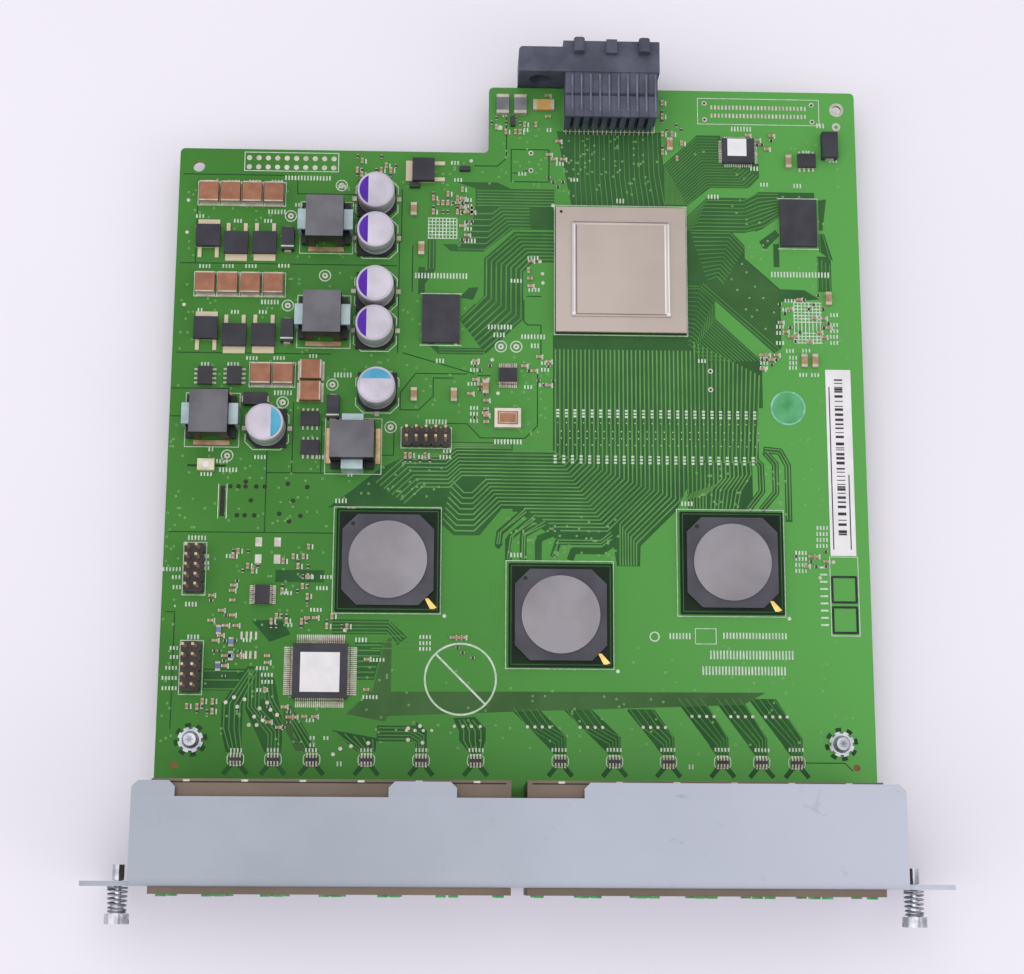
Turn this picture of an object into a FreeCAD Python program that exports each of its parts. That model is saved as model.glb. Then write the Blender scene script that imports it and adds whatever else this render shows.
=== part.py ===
"""Switch line card: a green circuit board behind a folded steel faceplate.

Twenty-four network jacks stand in two blocks behind the faceplate, a backplane
connector with a guide bore hangs over the rear edge, and a sprung captive screw
sits in each ear of the faceplate.  Millimetres; X runs across the card, Y from
the faceplate to the backplane connector, Z up.  The origin is the middle of the
bounding box's underside, on the surface that the card lies on.
"""
import FreeCAD, Part
import math
import os
import Sketcher
from FreeCAD import Vector

doc = FreeCAD.newDocument("line_card")
sizes = doc.addObject("Spreadsheet::Sheet", "Sizes")

SIZES = {
    # folded faceplate
    "sheet_thickness": 1.2,
    "bend_radius": 0.8,
    "face_end": 4.85,
    "ear_width": 12.3,
    "ear_margin": 2.6,
    "ear_corner": 3.0,
    "shelf_depth": 21.1,
    "shelf_clearance": 0.8,
    "tab_depth": 3.8,
    "tab_slope": 0.7,
    "tab_corner": 1.5,
    "left_tab_width": 10.3,
    "middle_tab_width": 16.4,
    "middle_tab_centre": -23.6,
    "right_tab_width": 77.9,
    "flange_depth": 12.0,
    "tongue_margin": 6.5,
    "window_clearance": 0.3,
    # circuit board
    "board_side_gap": 1.05,
    "board_depth": 213.0,
    "board_thickness": 1.6,
    "board_gap": 1.0,
    "board_corner": 1.3,
    "notch_depth": 19.1,
    "notch_edge": -8.6,
    "tooling_hole": 3.2,
    "tooling_inset": 5.1,
    "corner_hole": 2.7,
    "corner_inset": 4.8,
    # screws that hold the board to the faceplate
    "standoff_length": 8.0,
    "standoff_flats": 5.5,
    "screw_inset": 8.9,
    "screw_setback": 34.2,
    "screw_thread": 2.5,
    "screw_length": 7.0,
    "screw_head": 4.5,
    "screw_head_height": 1.8,
    "screw_crown": 0.72,
    "thread_clearance": 0.1,
    "board_hole_clearance": 0.4,
    "washer_outer": 6.5,
    "washer_thickness": 0.5,
    "washer_notch": 1.1,
    # captive screws in the ears
    "captive_offset": 5.3,
    "captive_head": 6.05,
    "captive_head_height": 2.5,
    "captive_collar": 3.45,
    "captive_collar_length": 2.4,
    "captive_neck": 1.9,
    "captive_thread": 2.9,
    "captive_thread_length": 3.8,
    "captive_slot": 1.0,
    "captive_hole": 2.5,
    "captive_play": 0.15,
    "spring_length": 6.65,
    "spring_outer": 5.3,
    "spring_wire": 0.5,
    "spring_turns": 3.0,
    # jack blocks
    "jack_end": 1.29,
    "jack_depth": 27.2,
    "jack_gap": 3.9,
    "jack_shift": -0.35,
    "jack_reach": 1.8,
    "shield_thickness": 0.3,
    "shield_slack": 0.05,
    "port_pitch": 13.97,
    "port_width": 11.9,
    "port_height": 6.9,
    "port_depth": 14.0,
    "port_web": 2.2,
    "latch_width": 6.2,
    "latch_height": 1.9,
    "catch_width": 3.4,
    "catch_height": 0.9,
    "port_roof": 1.7,
    "pipe_width": 2.4,
    "pipe_height": 1.8,
    "pipe_wall": 0.33,
    "pipe_reach": 0.55,
    # backplane connector
    "mating_wall": 0.55,
    "mating_depth": 8.9,
    "mating_height": 10.6,
    "mating_gap": 0.4,
    "mating_centre": 24.3,
    "guide_width": 12.0,
    "guide_depth": 7.1,
    "guide_bore": 6.0,
    "guide_height": 4.9,
    "key_width": 2.9,
    "key_height": 2.5,
    "key_length": 3.9,
    "key_spacing": 8.8,
    "wafer_pitch": 2.5,
    "wafer_slit": 0.08,
    "wafer_depth": 12.7,
    "wafer_height": 10.3,
    "wafer_relief": 0.95,
    "slot_width": 1.5,
    "slot_depth": 5.0,
    # packages on the board
    "processor_side": 35.0,
    "processor_substrate_height": 1.5,
    "processor_lid_height": 0.9,
    "processor_panel": 26.6,
    "processor_step": 0.35,
    "transceiver_side": 27.0,
    "transceiver_substrate_height": 1.1,
    "transceiver_mould": 23.8,
    "transceiver_mould_height": 0.9,
    "transceiver_bevel": 3.9,
    "spreader_diameter": 20.3,
    "spreader_height": 0.5,
    "controller_side": 14.0,
    "controller_height": 1.5,
    "memory_width": 10.0,
    "memory_depth": 13.3,
    "memory_height": 1.2,
    "logic_width": 8.8,
    "logic_depth": 7.0,
    "oscillator_width": 7.0,
    "oscillator_depth": 5.2,
    "oscillator_height": 1.6,
    "core_width": 9.9,
    "core_depth": 11.4,
    "core_height": 9.2,
    "core_foot": 12.9,
    "core_foot_height": 3.0,
    "core_window": 5.4,
    "strap_width": 5.6,
    "strap_thickness": 0.9,
    "strap_height": 6.2,
    "can_diameter": 10.0,
    "can_height": 8.0,
    "can_base_side": 10.4,
    "can_base_height": 0.9,
    "can_base_bevel": 2.4,
    "ceramic_length": 5.7,
    "ceramic_width": 5.1,
    "ceramic_height": 2.4,
    "transistor_width": 6.4,
    "transistor_depth": 6.0,
    "transistor_height": 2.2,
    "transistor_tab": 1.8,
    "transistor_lead": 2.8,
    "diode_length": 6.2,
    "diode_width": 3.3,
    "diode_height": 2.2,
    "outline_length": 4.9,
    "outline_width": 3.8,
    "outline_height": 1.5,
    "outline_lead": 1.0,
    "header_pitch": 2.54,
    "header_height": 2.5,
    "header_bevel": 0.5,
    "header_pin": 0.64,
    "header_pin_height": 8.4,
    "array_width": 3.0,
    "array_depth": 1.6,
    "array_height": 0.6,
    "array_gap": 6.2,
    "bead_width": 3.4,
    "bead_depth": 5.2,
    "bead_height": 1.6,
    "fuse_width": 5.6,
    "fuse_depth": 3.0,
    "fuse_height": 1.2,
    "lamp_width": 4.4,
    "lamp_depth": 3.0,
    "lamp_height": 1.9,
    "tantalum_width": 4.3,
    "tantalum_depth": 7.3,
    "tantalum_height": 2.8,
}
for row, (alias, value) in enumerate(SIZES.items(), start=1):
    sizes.set(f"A{row}", alias)
    sizes.set(f"B{row}", str(value))
    sizes.setAlias(f"B{row}", alias)
doc.recompute()

PORTS_ACROSS = 6
WAFERS = 10

# The board size that the placement lists below are drawn for; the places
# stretch with the board.
DRAWN_WIDTH = 184.3
DRAWN_DEPTH = 213.0

# Sizes that follow from others, as expressions on the sheet.
JACK_WIDTH = f"({PORTS_ACROSS} * Sizes.port_pitch + 2 * Sizes.jack_end)"
PORT_RISE = "(Sizes.port_web / 2 + Sizes.port_height + Sizes.latch_height + Sizes.catch_height)"
JACK_HEIGHT = f"(2 * ({PORT_RISE} + Sizes.port_roof))"
FACE_WIDTH = f"(2 * {JACK_WIDTH} + Sizes.jack_gap + 2 * Sizes.face_end)"
BOARD_WIDTH = f"({FACE_WIDTH} - 2 * Sizes.board_side_gap)"
SCREW_SPACING = f"({BOARD_WIDTH} - 2 * Sizes.screw_inset)"
CAPTIVE_SPACING = f"({FACE_WIDTH} + 2 * Sizes.captive_offset)"
MATING_WIDTH = f"({WAFERS} * Sizes.wafer_pitch + 2 * Sizes.mating_wall)"

# Reference planes of the whole card, as expressions on the sheet.
FRONT_REACH = "(Sizes.spring_length + Sizes.captive_head_height)"
REAR_REACH = ("(Sizes.sheet_thickness + Sizes.board_gap + Sizes.board_depth"
              " + Sizes.mating_gap + Sizes.mating_depth)")
FACE = f"(({FRONT_REACH} - {REAR_REACH}) / 2)"
BOARD_FRONT = f"({FACE} + Sizes.sheet_thickness + Sizes.board_gap)"
BOARD_REAR = f"({BOARD_FRONT} + Sizes.board_depth)"
BOARD_UNDER = "(Sizes.sheet_thickness + Sizes.standoff_length)"
BOARD_TOP = f"({BOARD_UNDER} + Sizes.board_thickness)"
FACE_HEIGHT = ("(2 * Sizes.sheet_thickness + Sizes.standoff_length + Sizes.board_thickness"
               f" + {JACK_HEIGHT} + Sizes.shelf_clearance)")
BLOCK_FRONT = f"({FACE} - Sizes.jack_reach)"
BLOCK_REAR = f"({BLOCK_FRONT} + Sizes.jack_depth)"


def number(expression):
    """The value that an expression on the sheet has now."""
    return float(sizes.evalExpression(str(expression)))


def across(x, centre=None):
    """Place across the board, from its centre line.

    What stands in a group moves with the group's centre and keeps its distance to it.
    """
    centre = x if centre is None else centre
    return f"({centre} * {BOARD_WIDTH} / {DRAWN_WIDTH} + {x - centre:.4g})"


def along(y, centre=None):
    """Place along the board, from its front edge."""
    centre = y if centre is None else centre
    return f"({BOARD_FRONT} + {centre} * Sizes.board_depth / {DRAWN_DEPTH} + {y - centre:.4g})"


def place(thing, x, y, z, turn=0):
    """Binds a sub-part's Placement to the sheet; turn is in degrees about Z."""
    thing.Placement.Rotation = FreeCAD.Rotation(Vector(0, 0, 1), turn)
    for axis, expression in zip("xyz", (x, y, z)):
        thing.setExpression(f"Placement.Base.{axis}", str(expression))


def new_body(label):
    body = doc.addObject("PartDesign::Body", label)
    body.Label = label
    return body


def new_sketch(body, role, offset="0"):
    """A sketch on one of the body's own origin planes, moved along its normal."""
    plane = next(f for f in body.Origin.OriginFeatures if f.Role == role)
    sketch = body.newObject("Sketcher::SketchObject", "Sketch")
    sketch.AttachmentSupport = [(plane, "")]
    sketch.MapMode = "FlatFace"
    sketch.setExpression("AttachmentOffset.Base.z", str(offset))
    return sketch


def pin_point(sketch, geometry, point, x, y):
    """Ties a point of the sketch to the origin by two distances on the sheet."""
    for kind, expression in (("DistanceX", x), ("DistanceY", y)):
        constraint = Sketcher.Constraint(kind, -1, 1, geometry, point, number(expression))
        index = sketch.addConstraint(constraint)
        sketch.setExpression(f"Constraints[{index}]", str(expression))


def draw_outline(sketch, points):
    """A closed outline of straight sides through points given as expressions."""
    first = sketch.GeometryCount
    corners = [Vector(number(x), number(y), 0) for x, y in points]
    count = len(points)
    for i in range(count):
        line = Part.LineSegment(corners[i], corners[(i + 1) % count])
        sketch.addGeometry(line, False)
    for i in range(count):
        following = first + (i + 1) % count
        sketch.addConstraint(Sketcher.Constraint("Coincident", first + i, 2, following, 1))
        pin_point(sketch, first + i, 1, *points[i])


def draw_rectangle(sketch, left, low, right, high):
    draw_outline(sketch, [(left, low), (right, low), (right, high), (left, high)])


def draw_circle(sketch, x, y, diameter):
    centre = Vector(number(x), number(y), 0)
    circle = Part.Circle(centre, Vector(0, 0, 1), number(diameter) / 2)
    index = sketch.addGeometry(circle, False)
    pin_point(sketch, index, 3, x, y)
    size = sketch.addConstraint(Sketcher.Constraint("Diameter", index, number(diameter)))
    sketch.setExpression(f"Constraints[{size}]", str(diameter))


def pad(body, sketch, length, reverse=False, middle=False):
    feature = body.newObject("PartDesign::Pad", "Pad")
    feature.Profile = sketch
    feature.setExpression("Length", str(length))
    feature.Reversed = reverse
    feature.Midplane = middle
    body.Tip = feature
    doc.recompute()
    return feature


def pocket(body, sketch, length, reverse=False):
    before = body.Shape.Volume
    feature = body.newObject("PartDesign::Pocket", "Pocket")
    feature.Profile = sketch
    feature.setExpression("Length", str(length))
    feature.Reversed = reverse
    body.Tip = feature
    doc.recompute()
    if body.Shape.Volume >= before:
        raise RuntimeError(f"a pocket of {body.Label} cuts nothing")
    return feature


def repeat_across(body, feature, count, pitch):
    """Repeats a feature along X, starting where it stands."""
    pattern = body.newObject("PartDesign::LinearPattern", "Row")
    pattern.Originals = [feature]
    axis = next(f for f in body.Origin.OriginFeatures if f.Role == "X_Axis")
    pattern.Direction = (axis, [""])
    pattern.Occurrences = count
    pattern.setExpression("Length", f"{count - 1} * {pitch}")
    body.Tip = pattern
    doc.recompute()
    return pattern


def repeat_round(body, feature, count):
    """Repeats a feature about the body's Z axis."""
    pattern = body.newObject("PartDesign::PolarPattern", "Ring")
    pattern.Originals = [feature]
    pattern.Axis = (next(f for f in body.Origin.OriginFeatures if f.Role == "Z_Axis"), [""])
    pattern.Angle = 360
    pattern.Occurrences = count
    body.Tip = pattern
    doc.recompute()
    return pattern


def turn_round(body, sketch, axis="V_Axis"):
    feature = body.newObject("PartDesign::Revolution", "Turned")
    feature.Profile = sketch
    feature.ReferenceAxis = (sketch, [axis])
    feature.Angle = 360
    body.Tip = feature
    doc.recompute()
    return feature


def find_edges(shape, wanted):
    """Names of the straight edges whose two end points pass the test."""
    names = []
    for index, edge in enumerate(shape.Edges, start=1):
        if len(edge.Vertexes) == 2 and edge.Curve.TypeId == "Part::GeomLine":
            if wanted(edge.Vertexes[0].Point, edge.Vertexes[1].Point):
                names.append(f"Edge{index}")
    return names


def round_edges(body, radius, wanted):
    tip = body.Tip
    feature = body.newObject("PartDesign::Fillet", "Rounding")
    feature.Base = (tip, find_edges(tip.Shape, wanted))
    feature.setExpression("Radius", str(radius))
    body.Tip = feature
    doc.recompute()
    return feature


def cut_edges(body, size, wanted):
    tip = body.Tip
    feature = body.newObject("PartDesign::Chamfer", "Bevel")
    feature.Base = (tip, find_edges(tip.Shape, wanted))
    feature.setExpression("Size", str(size))
    body.Tip = feature
    doc.recompute()
    return feature


def near(value, expression):
    return abs(value - number(expression)) < 0.001


def new_box(name, width, depth, height, x="0", y="0", z="0"):
    """A box centred on x and y that stands on z."""
    box = doc.addObject("Part::Box", name)
    box.setExpression("Length", str(width))
    box.setExpression("Width", str(depth))
    box.setExpression("Height", str(height))
    place(box, f"{x} - ({width}) / 2", f"{y} - ({depth}) / 2", z)
    return box


def new_group(label, members):
    """Like pieces kept as separate solids in one node."""
    group = doc.addObject("Part::Compound", label)
    group.Label = label
    group.Links = members
    return group


parts = []

# ---------------------------------------------------------------- circuit board


def build_circuit_board():
    """Glass-fibre board with a notched rear corner; y = 0 is its front edge."""
    body = new_body("circuit_board")
    outline = new_sketch(body, "XY_Plane")
    half = f"{BOARD_WIDTH} / 2"
    notch = "Sizes.board_depth - Sizes.notch_depth"
    draw_outline(outline, [
        (f"-{half}", "0"), (half, "0"), (half, "Sizes.board_depth"),
        ("Sizes.notch_edge", "Sizes.board_depth"), ("Sizes.notch_edge", notch),
        (f"-{half}", notch)])
    pad(body, outline, "Sizes.board_thickness")
    round_edges(body, "Sizes.board_corner", lambda a, b: abs(a.z - b.z) > 0.1)
    holes = new_sketch(body, "XY_Plane")
    screw_hole = "Sizes.screw_thread + Sizes.board_hole_clearance"
    for side in ("-", ""):
        draw_circle(holes, f"{side}{SCREW_SPACING} / 2", "Sizes.screw_setback", screw_hole)
    draw_circle(holes, f"-{half} + Sizes.tooling_inset", f"{notch} - Sizes.tooling_inset",
                "Sizes.tooling_hole")
    draw_circle(holes, f"{half} - Sizes.corner_inset", "Sizes.board_depth - Sizes.corner_inset",
                "Sizes.corner_hole")
    pocket(body, holes, "Sizes.board_thickness", reverse=True)
    place(body, "0", BOARD_FRONT, BOARD_UNDER)
    parts.append(body)


# -------------------------------------------------------------------- faceplate

BLOCK_CENTRES = {
    "left": f"(Sizes.jack_shift - (Sizes.jack_gap + {JACK_WIDTH}) / 2)",
    "right": f"(Sizes.jack_shift + (Sizes.jack_gap + {JACK_WIDTH}) / 2)",
}
SCREW_PLACES = {"left": f"(-{SCREW_SPACING} / 2)", "right": f"({SCREW_SPACING} / 2)"}
CAPTIVE_HEIGHT = f"({FACE_HEIGHT} / 2)"


def build_faceplate():
    """One sheet folded to a C, with an ear at each end; y = 0 is its front face."""
    body = new_body("faceplate")
    sheet = "Sizes.sheet_thickness"
    under_shelf = f"{FACE_HEIGHT} - {sheet}"
    section = new_sketch(body, "YZ_Plane")
    draw_outline(section, [
        ("0", "0"), ("Sizes.flange_depth", "0"), ("Sizes.flange_depth", sheet),
        (sheet, sheet), (sheet, under_shelf), ("Sizes.shelf_depth", under_shelf),
        ("Sizes.shelf_depth", FACE_HEIGHT), ("0", FACE_HEIGHT)])
    pad(body, section, FACE_WIDTH, middle=True)
    round_edges(body, f"Sizes.bend_radius + {sheet}",
                lambda a, b: near(a.y, "0") and near(b.y, "0") and abs(a.x - b.x) > 1)
    round_edges(body, "Sizes.bend_radius",
                lambda a, b: near(a.y, sheet) and near(b.y, sheet) and abs(a.x - b.x) > 1)

    ears = new_sketch(body, "XZ_Plane")
    ear_end = f"{FACE_WIDTH} / 2 + Sizes.ear_width"
    draw_rectangle(ears, f"-({ear_end})", "Sizes.ear_margin", ear_end,
                   f"{FACE_HEIGHT} - Sizes.ear_margin")
    pad(body, ears, sheet, reverse=True)
    round_edges(body, "Sizes.ear_corner",
                lambda a, b: abs(a.y - b.y) > 0.5 and near(abs(a.x), ear_end)
                and near(abs(b.x), ear_end))

    # Three lips at the rear of the shelf slope down to the jack shields.
    lip_rear = "Sizes.shelf_depth + Sizes.tab_depth"
    lips = (
        ("Sizes.left_tab_width", f"(-{FACE_WIDTH} + Sizes.left_tab_width) / 2"),
        ("Sizes.middle_tab_width", "Sizes.middle_tab_centre"),
        ("Sizes.right_tab_width", f"({FACE_WIDTH} - Sizes.right_tab_width) / 2"))
    for width, centre in lips:
        lip = new_sketch(body, "YZ_Plane", centre)
        draw_outline(lip, [
            (f"Sizes.shelf_depth - {sheet}", under_shelf), ("Sizes.shelf_depth", under_shelf),
            (lip_rear, f"{under_shelf} - Sizes.tab_slope"),
            (lip_rear, f"{FACE_HEIGHT} - Sizes.tab_slope"),
            ("Sizes.shelf_depth", FACE_HEIGHT), (f"Sizes.shelf_depth - {sheet}", FACE_HEIGHT)])
        pad(body, lip, width, middle=True)
    cut_edges(body, "Sizes.tab_corner",
              lambda a, b: abs(a.z - b.z) > 0.5 and near(a.y, lip_rear) and near(b.y, lip_rear))

    # A tongue at each end of the lower flange reaches back to a board screw.
    tongue_rear = f"{sheet} + Sizes.board_gap + Sizes.screw_setback + Sizes.tongue_margin"
    reach = f"({FACE_WIDTH} - {SCREW_SPACING}) / 2"
    for side in SCREW_PLACES.values():
        tongue = new_sketch(body, "XY_Plane")
        draw_rectangle(tongue, f"{side} - {reach}", "Sizes.flange_depth / 2",
                       f"{side} + {reach}", tongue_rear)
        pad(body, tongue, sheet)
    cut_edges(body, "Sizes.ear_corner",
              lambda a, b: abs(a.z - b.z) > 0.5 and near(a.y, tongue_rear)
              and near(b.y, tongue_rear))

    # Windows for the jack blocks and tapped holes for the captive screws.
    windows = new_sketch(body, "XZ_Plane")
    low = f"{BOARD_TOP} - Sizes.window_clearance"
    high = f"{BOARD_TOP} + {JACK_HEIGHT} + Sizes.window_clearance"
    for centre in BLOCK_CENTRES.values():
        reach = f"{JACK_WIDTH} / 2 + Sizes.window_clearance"
        draw_rectangle(windows, f"{centre} - ({reach})", low, f"{centre} + ({reach})", high)
    pocket(body, windows, f"{sheet} + Sizes.bend_radius")
    tapped = new_sketch(body, "XZ_Plane")
    for sign in ("-", ""):
        draw_circle(tapped, f"{sign}{CAPTIVE_SPACING} / 2", CAPTIVE_HEIGHT,
                    "Sizes.captive_hole")
    pocket(body, tapped, sheet)
    place(body, "0", FACE, "0")
    parts.append(body)


# ---------------------------------------------------- screws that hold the board


def build_board_fasteners():
    """Standoffs welded to the tongues, toothed lock washers and domed screws."""
    standoffs = []
    washers = []
    screws = []
    for side, x in SCREW_PLACES.items():
        y = f"({BOARD_FRONT} + Sizes.screw_setback)"
        standoff = new_body(f"{side}_standoff")
        flats = new_sketch(standoff, "XY_Plane")
        ring = [math.radians(60 * i) for i in range(6)]
        radius = f"Sizes.standoff_flats / {2 * math.cos(math.pi / 6):.6f}"
        draw_outline(flats, [(f"{math.cos(a):.6f} * {radius}", f"{math.sin(a):.6f} * {radius}")
                             for a in ring])
        pad(standoff, flats, "Sizes.standoff_length")
        bore = new_sketch(standoff, "XY_Plane", "Sizes.standoff_length")
        draw_circle(bore, "0", "0", "Sizes.screw_thread + Sizes.thread_clearance")
        pocket(standoff, bore, "Sizes.standoff_length")
        place(standoff, x, y, "Sizes.sheet_thickness")
        standoffs.append(standoff)

        washer = new_body(f"{side}_washer")
        disc = new_sketch(washer, "XY_Plane")
        draw_circle(disc, "0", "0", "Sizes.washer_outer")
        draw_circle(disc, "0", "0", "Sizes.screw_thread + Sizes.board_hole_clearance")
        pad(washer, disc, "Sizes.washer_thickness")
        gap = new_sketch(washer, "XY_Plane")
        outer = "Sizes.washer_outer / 2"
        depth = "Sizes.washer_notch"
        draw_outline(gap, [
            (f"{outer} - {depth}", f"-{depth} / 4"), (f"{outer} + 0.5", f"-{depth} / 1.6"),
            (f"{outer} + 0.5", f"{depth} / 1.6"), (f"{outer} - {depth}", f"{depth} / 4")])
        notch = pocket(washer, gap, "Sizes.washer_thickness", reverse=True)
        repeat_round(washer, notch, 8)
        place(washer, x, y, BOARD_TOP)
        washers.append(washer)

        screw = new_body(f"{side}_board_screw")
        profile = new_sketch(screw, "XZ_Plane")
        head = "Sizes.screw_head / 2"
        shank = "Sizes.screw_thread / 2"
        top = "Sizes.screw_head_height"
        draw_outline(profile, [
            ("0", "-Sizes.screw_length"), (shank, "-Sizes.screw_length"), (shank, "0"),
            (head, "0"), (f"{head} * Sizes.screw_crown", top), ("0", top)])
        turn_round(screw, profile)
        place(screw, x, y, f"{BOARD_TOP} + Sizes.washer_thickness")
        screws.append(screw)
    parts.append(new_group("board_standoffs", standoffs))
    parts.append(new_group("lock_washers", washers))
    parts.append(new_group("board_screws", screws))


# ------------------------------------------------------ captive screws and springs

STEPS_PER_TURN = 8
# Share of the wire that stands between the end of the coil's path and what it rests on.
SPRING_SEAT = 0.6


def coil_shape():
    """Coil about Y between the ear and the head, clear of both by a hair.

    Each turn is STEPS_PER_TURN straight steps, and the wire's section is a square on edge.
    """
    wire = number("Sizes.spring_wire")
    radius = (number("Sizes.spring_outer") - wire) / 2
    turns = number("Sizes.spring_turns")
    start = -wire * SPRING_SEAT
    rise = number("Sizes.spring_length") - 2 * wire * SPRING_SEAT
    steps = round(turns * STEPS_PER_TURN)
    points = []
    for i in range(steps + 1):
        angle = 2 * math.pi * turns * i / steps
        points.append(Vector(radius * math.sin(angle), start - rise * i / steps,
                             radius * math.cos(angle)))
    edge = wire / 2
    corners = [points[0] + Vector(0, dy * edge, dz * edge)
               for dy, dz in ((1, 0), (0, 1), (-1, 0), (0, -1), (1, 0))]
    path = Part.makePolygon(points)
    section = Part.makePolygon(corners)
    return path.makePipeShell([section], True, True, 1)


def build_captive_screws():
    """Turned about Y; y = 0 is the front face of the ear."""
    for side, sign in (("left", "-"), ("right", "")):
        x = f"{sign}{CAPTIVE_SPACING} / 2"
        screw = new_body(f"{side}_captive_screw")
        profile = new_sketch(screw, "XY_Plane")
        head = "Sizes.captive_head / 2"
        collar = "Sizes.captive_collar / 2"
        neck = "Sizes.captive_neck / 2"
        thread = "Sizes.captive_thread / 2"
        under_head = "(-Sizes.spring_length)"
        face = f"({under_head} - Sizes.captive_head_height)"
        collar_end = f"({under_head} + Sizes.captive_collar_length)"
        shoulder = "(Sizes.sheet_thickness + Sizes.captive_play)"
        tip = f"({shoulder} + Sizes.captive_thread_length)"
        draw_outline(profile, [
            ("0", face), (head, face), (head, under_head), (collar, under_head),
            (collar, collar_end), (neck, collar_end), (neck, shoulder), (thread, shoulder),
            (thread, tip), ("0", tip)])
        turn_round(screw, profile)
        slot = new_sketch(screw, "XZ_Plane", f"-{face}")
        draw_rectangle(slot, "-Sizes.captive_head", "-Sizes.captive_slot / 2",
                       "Sizes.captive_head", "Sizes.captive_slot / 2")
        pocket(screw, slot, "Sizes.captive_slot")
        place(screw, x, FACE, CAPTIVE_HEIGHT)
        parts.append(screw)

        spring = doc.addObject("Part::Feature", f"{side}_screw_spring")
        spring.Label = f"{side}_screw_spring"
        spring.Shape = coil_shape()
        place(spring, x, FACE, CAPTIVE_HEIGHT)
        parts.append(spring)


# ------------------------------------------------------------------- jack blocks

FIRST_PORT = f"(-{PORTS_ACROSS - 1} * Sizes.port_pitch / 2)"
PORT_MIDDLE = f"({JACK_HEIGHT} / 2)"
PIPE_OFFSET = "(Sizes.port_pitch / 2 - Sizes.pipe_wall - Sizes.pipe_width / 2)"
HOUSING_INSET = "(Sizes.shield_thickness + Sizes.shield_slack)"


def port_outline(sign):
    """Stepped mouth of one port; sign is + for the upper row and - for the lower."""
    widths = [f"Sizes.{name}_width / 2" for name in ("port", "latch", "catch")]
    heights = ["Sizes.port_web / 2"]
    for name in ("port", "latch", "catch"):
        heights.append(f"{heights[-1]} + Sizes.{name}_height")
    right = []
    for step, width in enumerate(widths):
        right.append((width, heights[step]))
        right.append((width, heights[step + 1]))
    points = [(f"{FIRST_PORT} + {x}", y) for x, y in right]
    points += [(f"{FIRST_PORT} - {x}", y) for x, y in reversed(right)]
    return [(x, f"{PORT_MIDDLE} {sign} ({y})") for x, y in points]


def build_jack_blocks():
    """Two shielded blocks of twelve ports; y = 0 is the front of the shield."""
    for side, centre in BLOCK_CENTRES.items():
        shield = new_body(f"{side}_jack_shield")
        plan = new_sketch(shield, "XY_Plane")
        half = f"{JACK_WIDTH} / 2"
        draw_rectangle(plan, f"-{half}", "0", half, "Sizes.jack_depth")
        pad(shield, plan, JACK_HEIGHT)
        inner = new_sketch(shield, "XY_Plane")
        wall = "Sizes.shield_thickness"
        draw_rectangle(inner, f"-{half} + {wall}", wall, f"{half} - {wall}",
                       f"Sizes.jack_depth - {wall}")
        pocket(shield, inner, f"{JACK_HEIGHT} - {wall}", reverse=True)
        mouth = new_sketch(shield, "XZ_Plane")
        reach = "(Sizes.port_pitch / 2 - Sizes.pipe_wall + Sizes.shield_slack)"
        low = "Sizes.port_web / 2"
        for sign in ("+", "-"):
            draw_rectangle(mouth, f"{FIRST_PORT} - {reach}", f"{PORT_MIDDLE} {sign} {low}",
                           f"{FIRST_PORT} + {reach}", f"{PORT_MIDDLE} {sign} {PORT_RISE}")
        window = pocket(shield, mouth, wall)
        repeat_across(shield, window, PORTS_ACROSS, "Sizes.port_pitch")
        place(shield, centre, BLOCK_FRONT, BOARD_TOP)
        parts.append(shield)

        housing = new_body(f"{side}_jack_housing")
        plan = new_sketch(housing, "XY_Plane")
        draw_rectangle(plan, f"-{half} + {HOUSING_INSET}", HOUSING_INSET,
                       f"{half} - {HOUSING_INSET}", f"Sizes.jack_depth - {HOUSING_INSET}")
        pad(housing, plan, f"{JACK_HEIGHT} - {HOUSING_INSET}")
        mouths = new_sketch(housing, "XZ_Plane")
        for sign in ("+", "-"):
            draw_outline(mouths, port_outline(sign))
        port = pocket(housing, mouths, f"{HOUSING_INSET} + Sizes.port_depth")
        repeat_across(housing, port, PORTS_ACROSS, "Sizes.port_pitch")
        place(housing, centre, BLOCK_FRONT, BOARD_TOP)
        parts.append(housing)

        pipes = []
        for column in range(PORTS_ACROSS):
            for offset in ("-", "+"):
                x = (f"{centre} + {FIRST_PORT} + {column} * Sizes.port_pitch"
                     f" {offset} {PIPE_OFFSET}")
                for row, sign in (("upper", "+"), ("lower", "-")):
                    middle = (f"(Sizes.port_web / 2 + Sizes.port_height"
                              f" + Sizes.pipe_height / 2 + Sizes.shield_thickness)")
                    depth = f"Sizes.pipe_reach + {HOUSING_INSET}"
                    pipes.append(new_box(
                        f"{side}_{row}_pipe", "Sizes.pipe_width", depth, "Sizes.pipe_height",
                        x, f"({BLOCK_FRONT} + ({HOUSING_INSET} - Sizes.pipe_reach) / 2)",
                        f"{BOARD_TOP} + {PORT_MIDDLE} {sign} {middle} - Sizes.pipe_height / 2"))
        parts.append(new_group(f"{side}_jack_light_pipes", pipes))


# ----------------------------------------------------------- backplane connector

MATING_FACE = f"({BOARD_REAR} + Sizes.mating_gap)"


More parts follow.
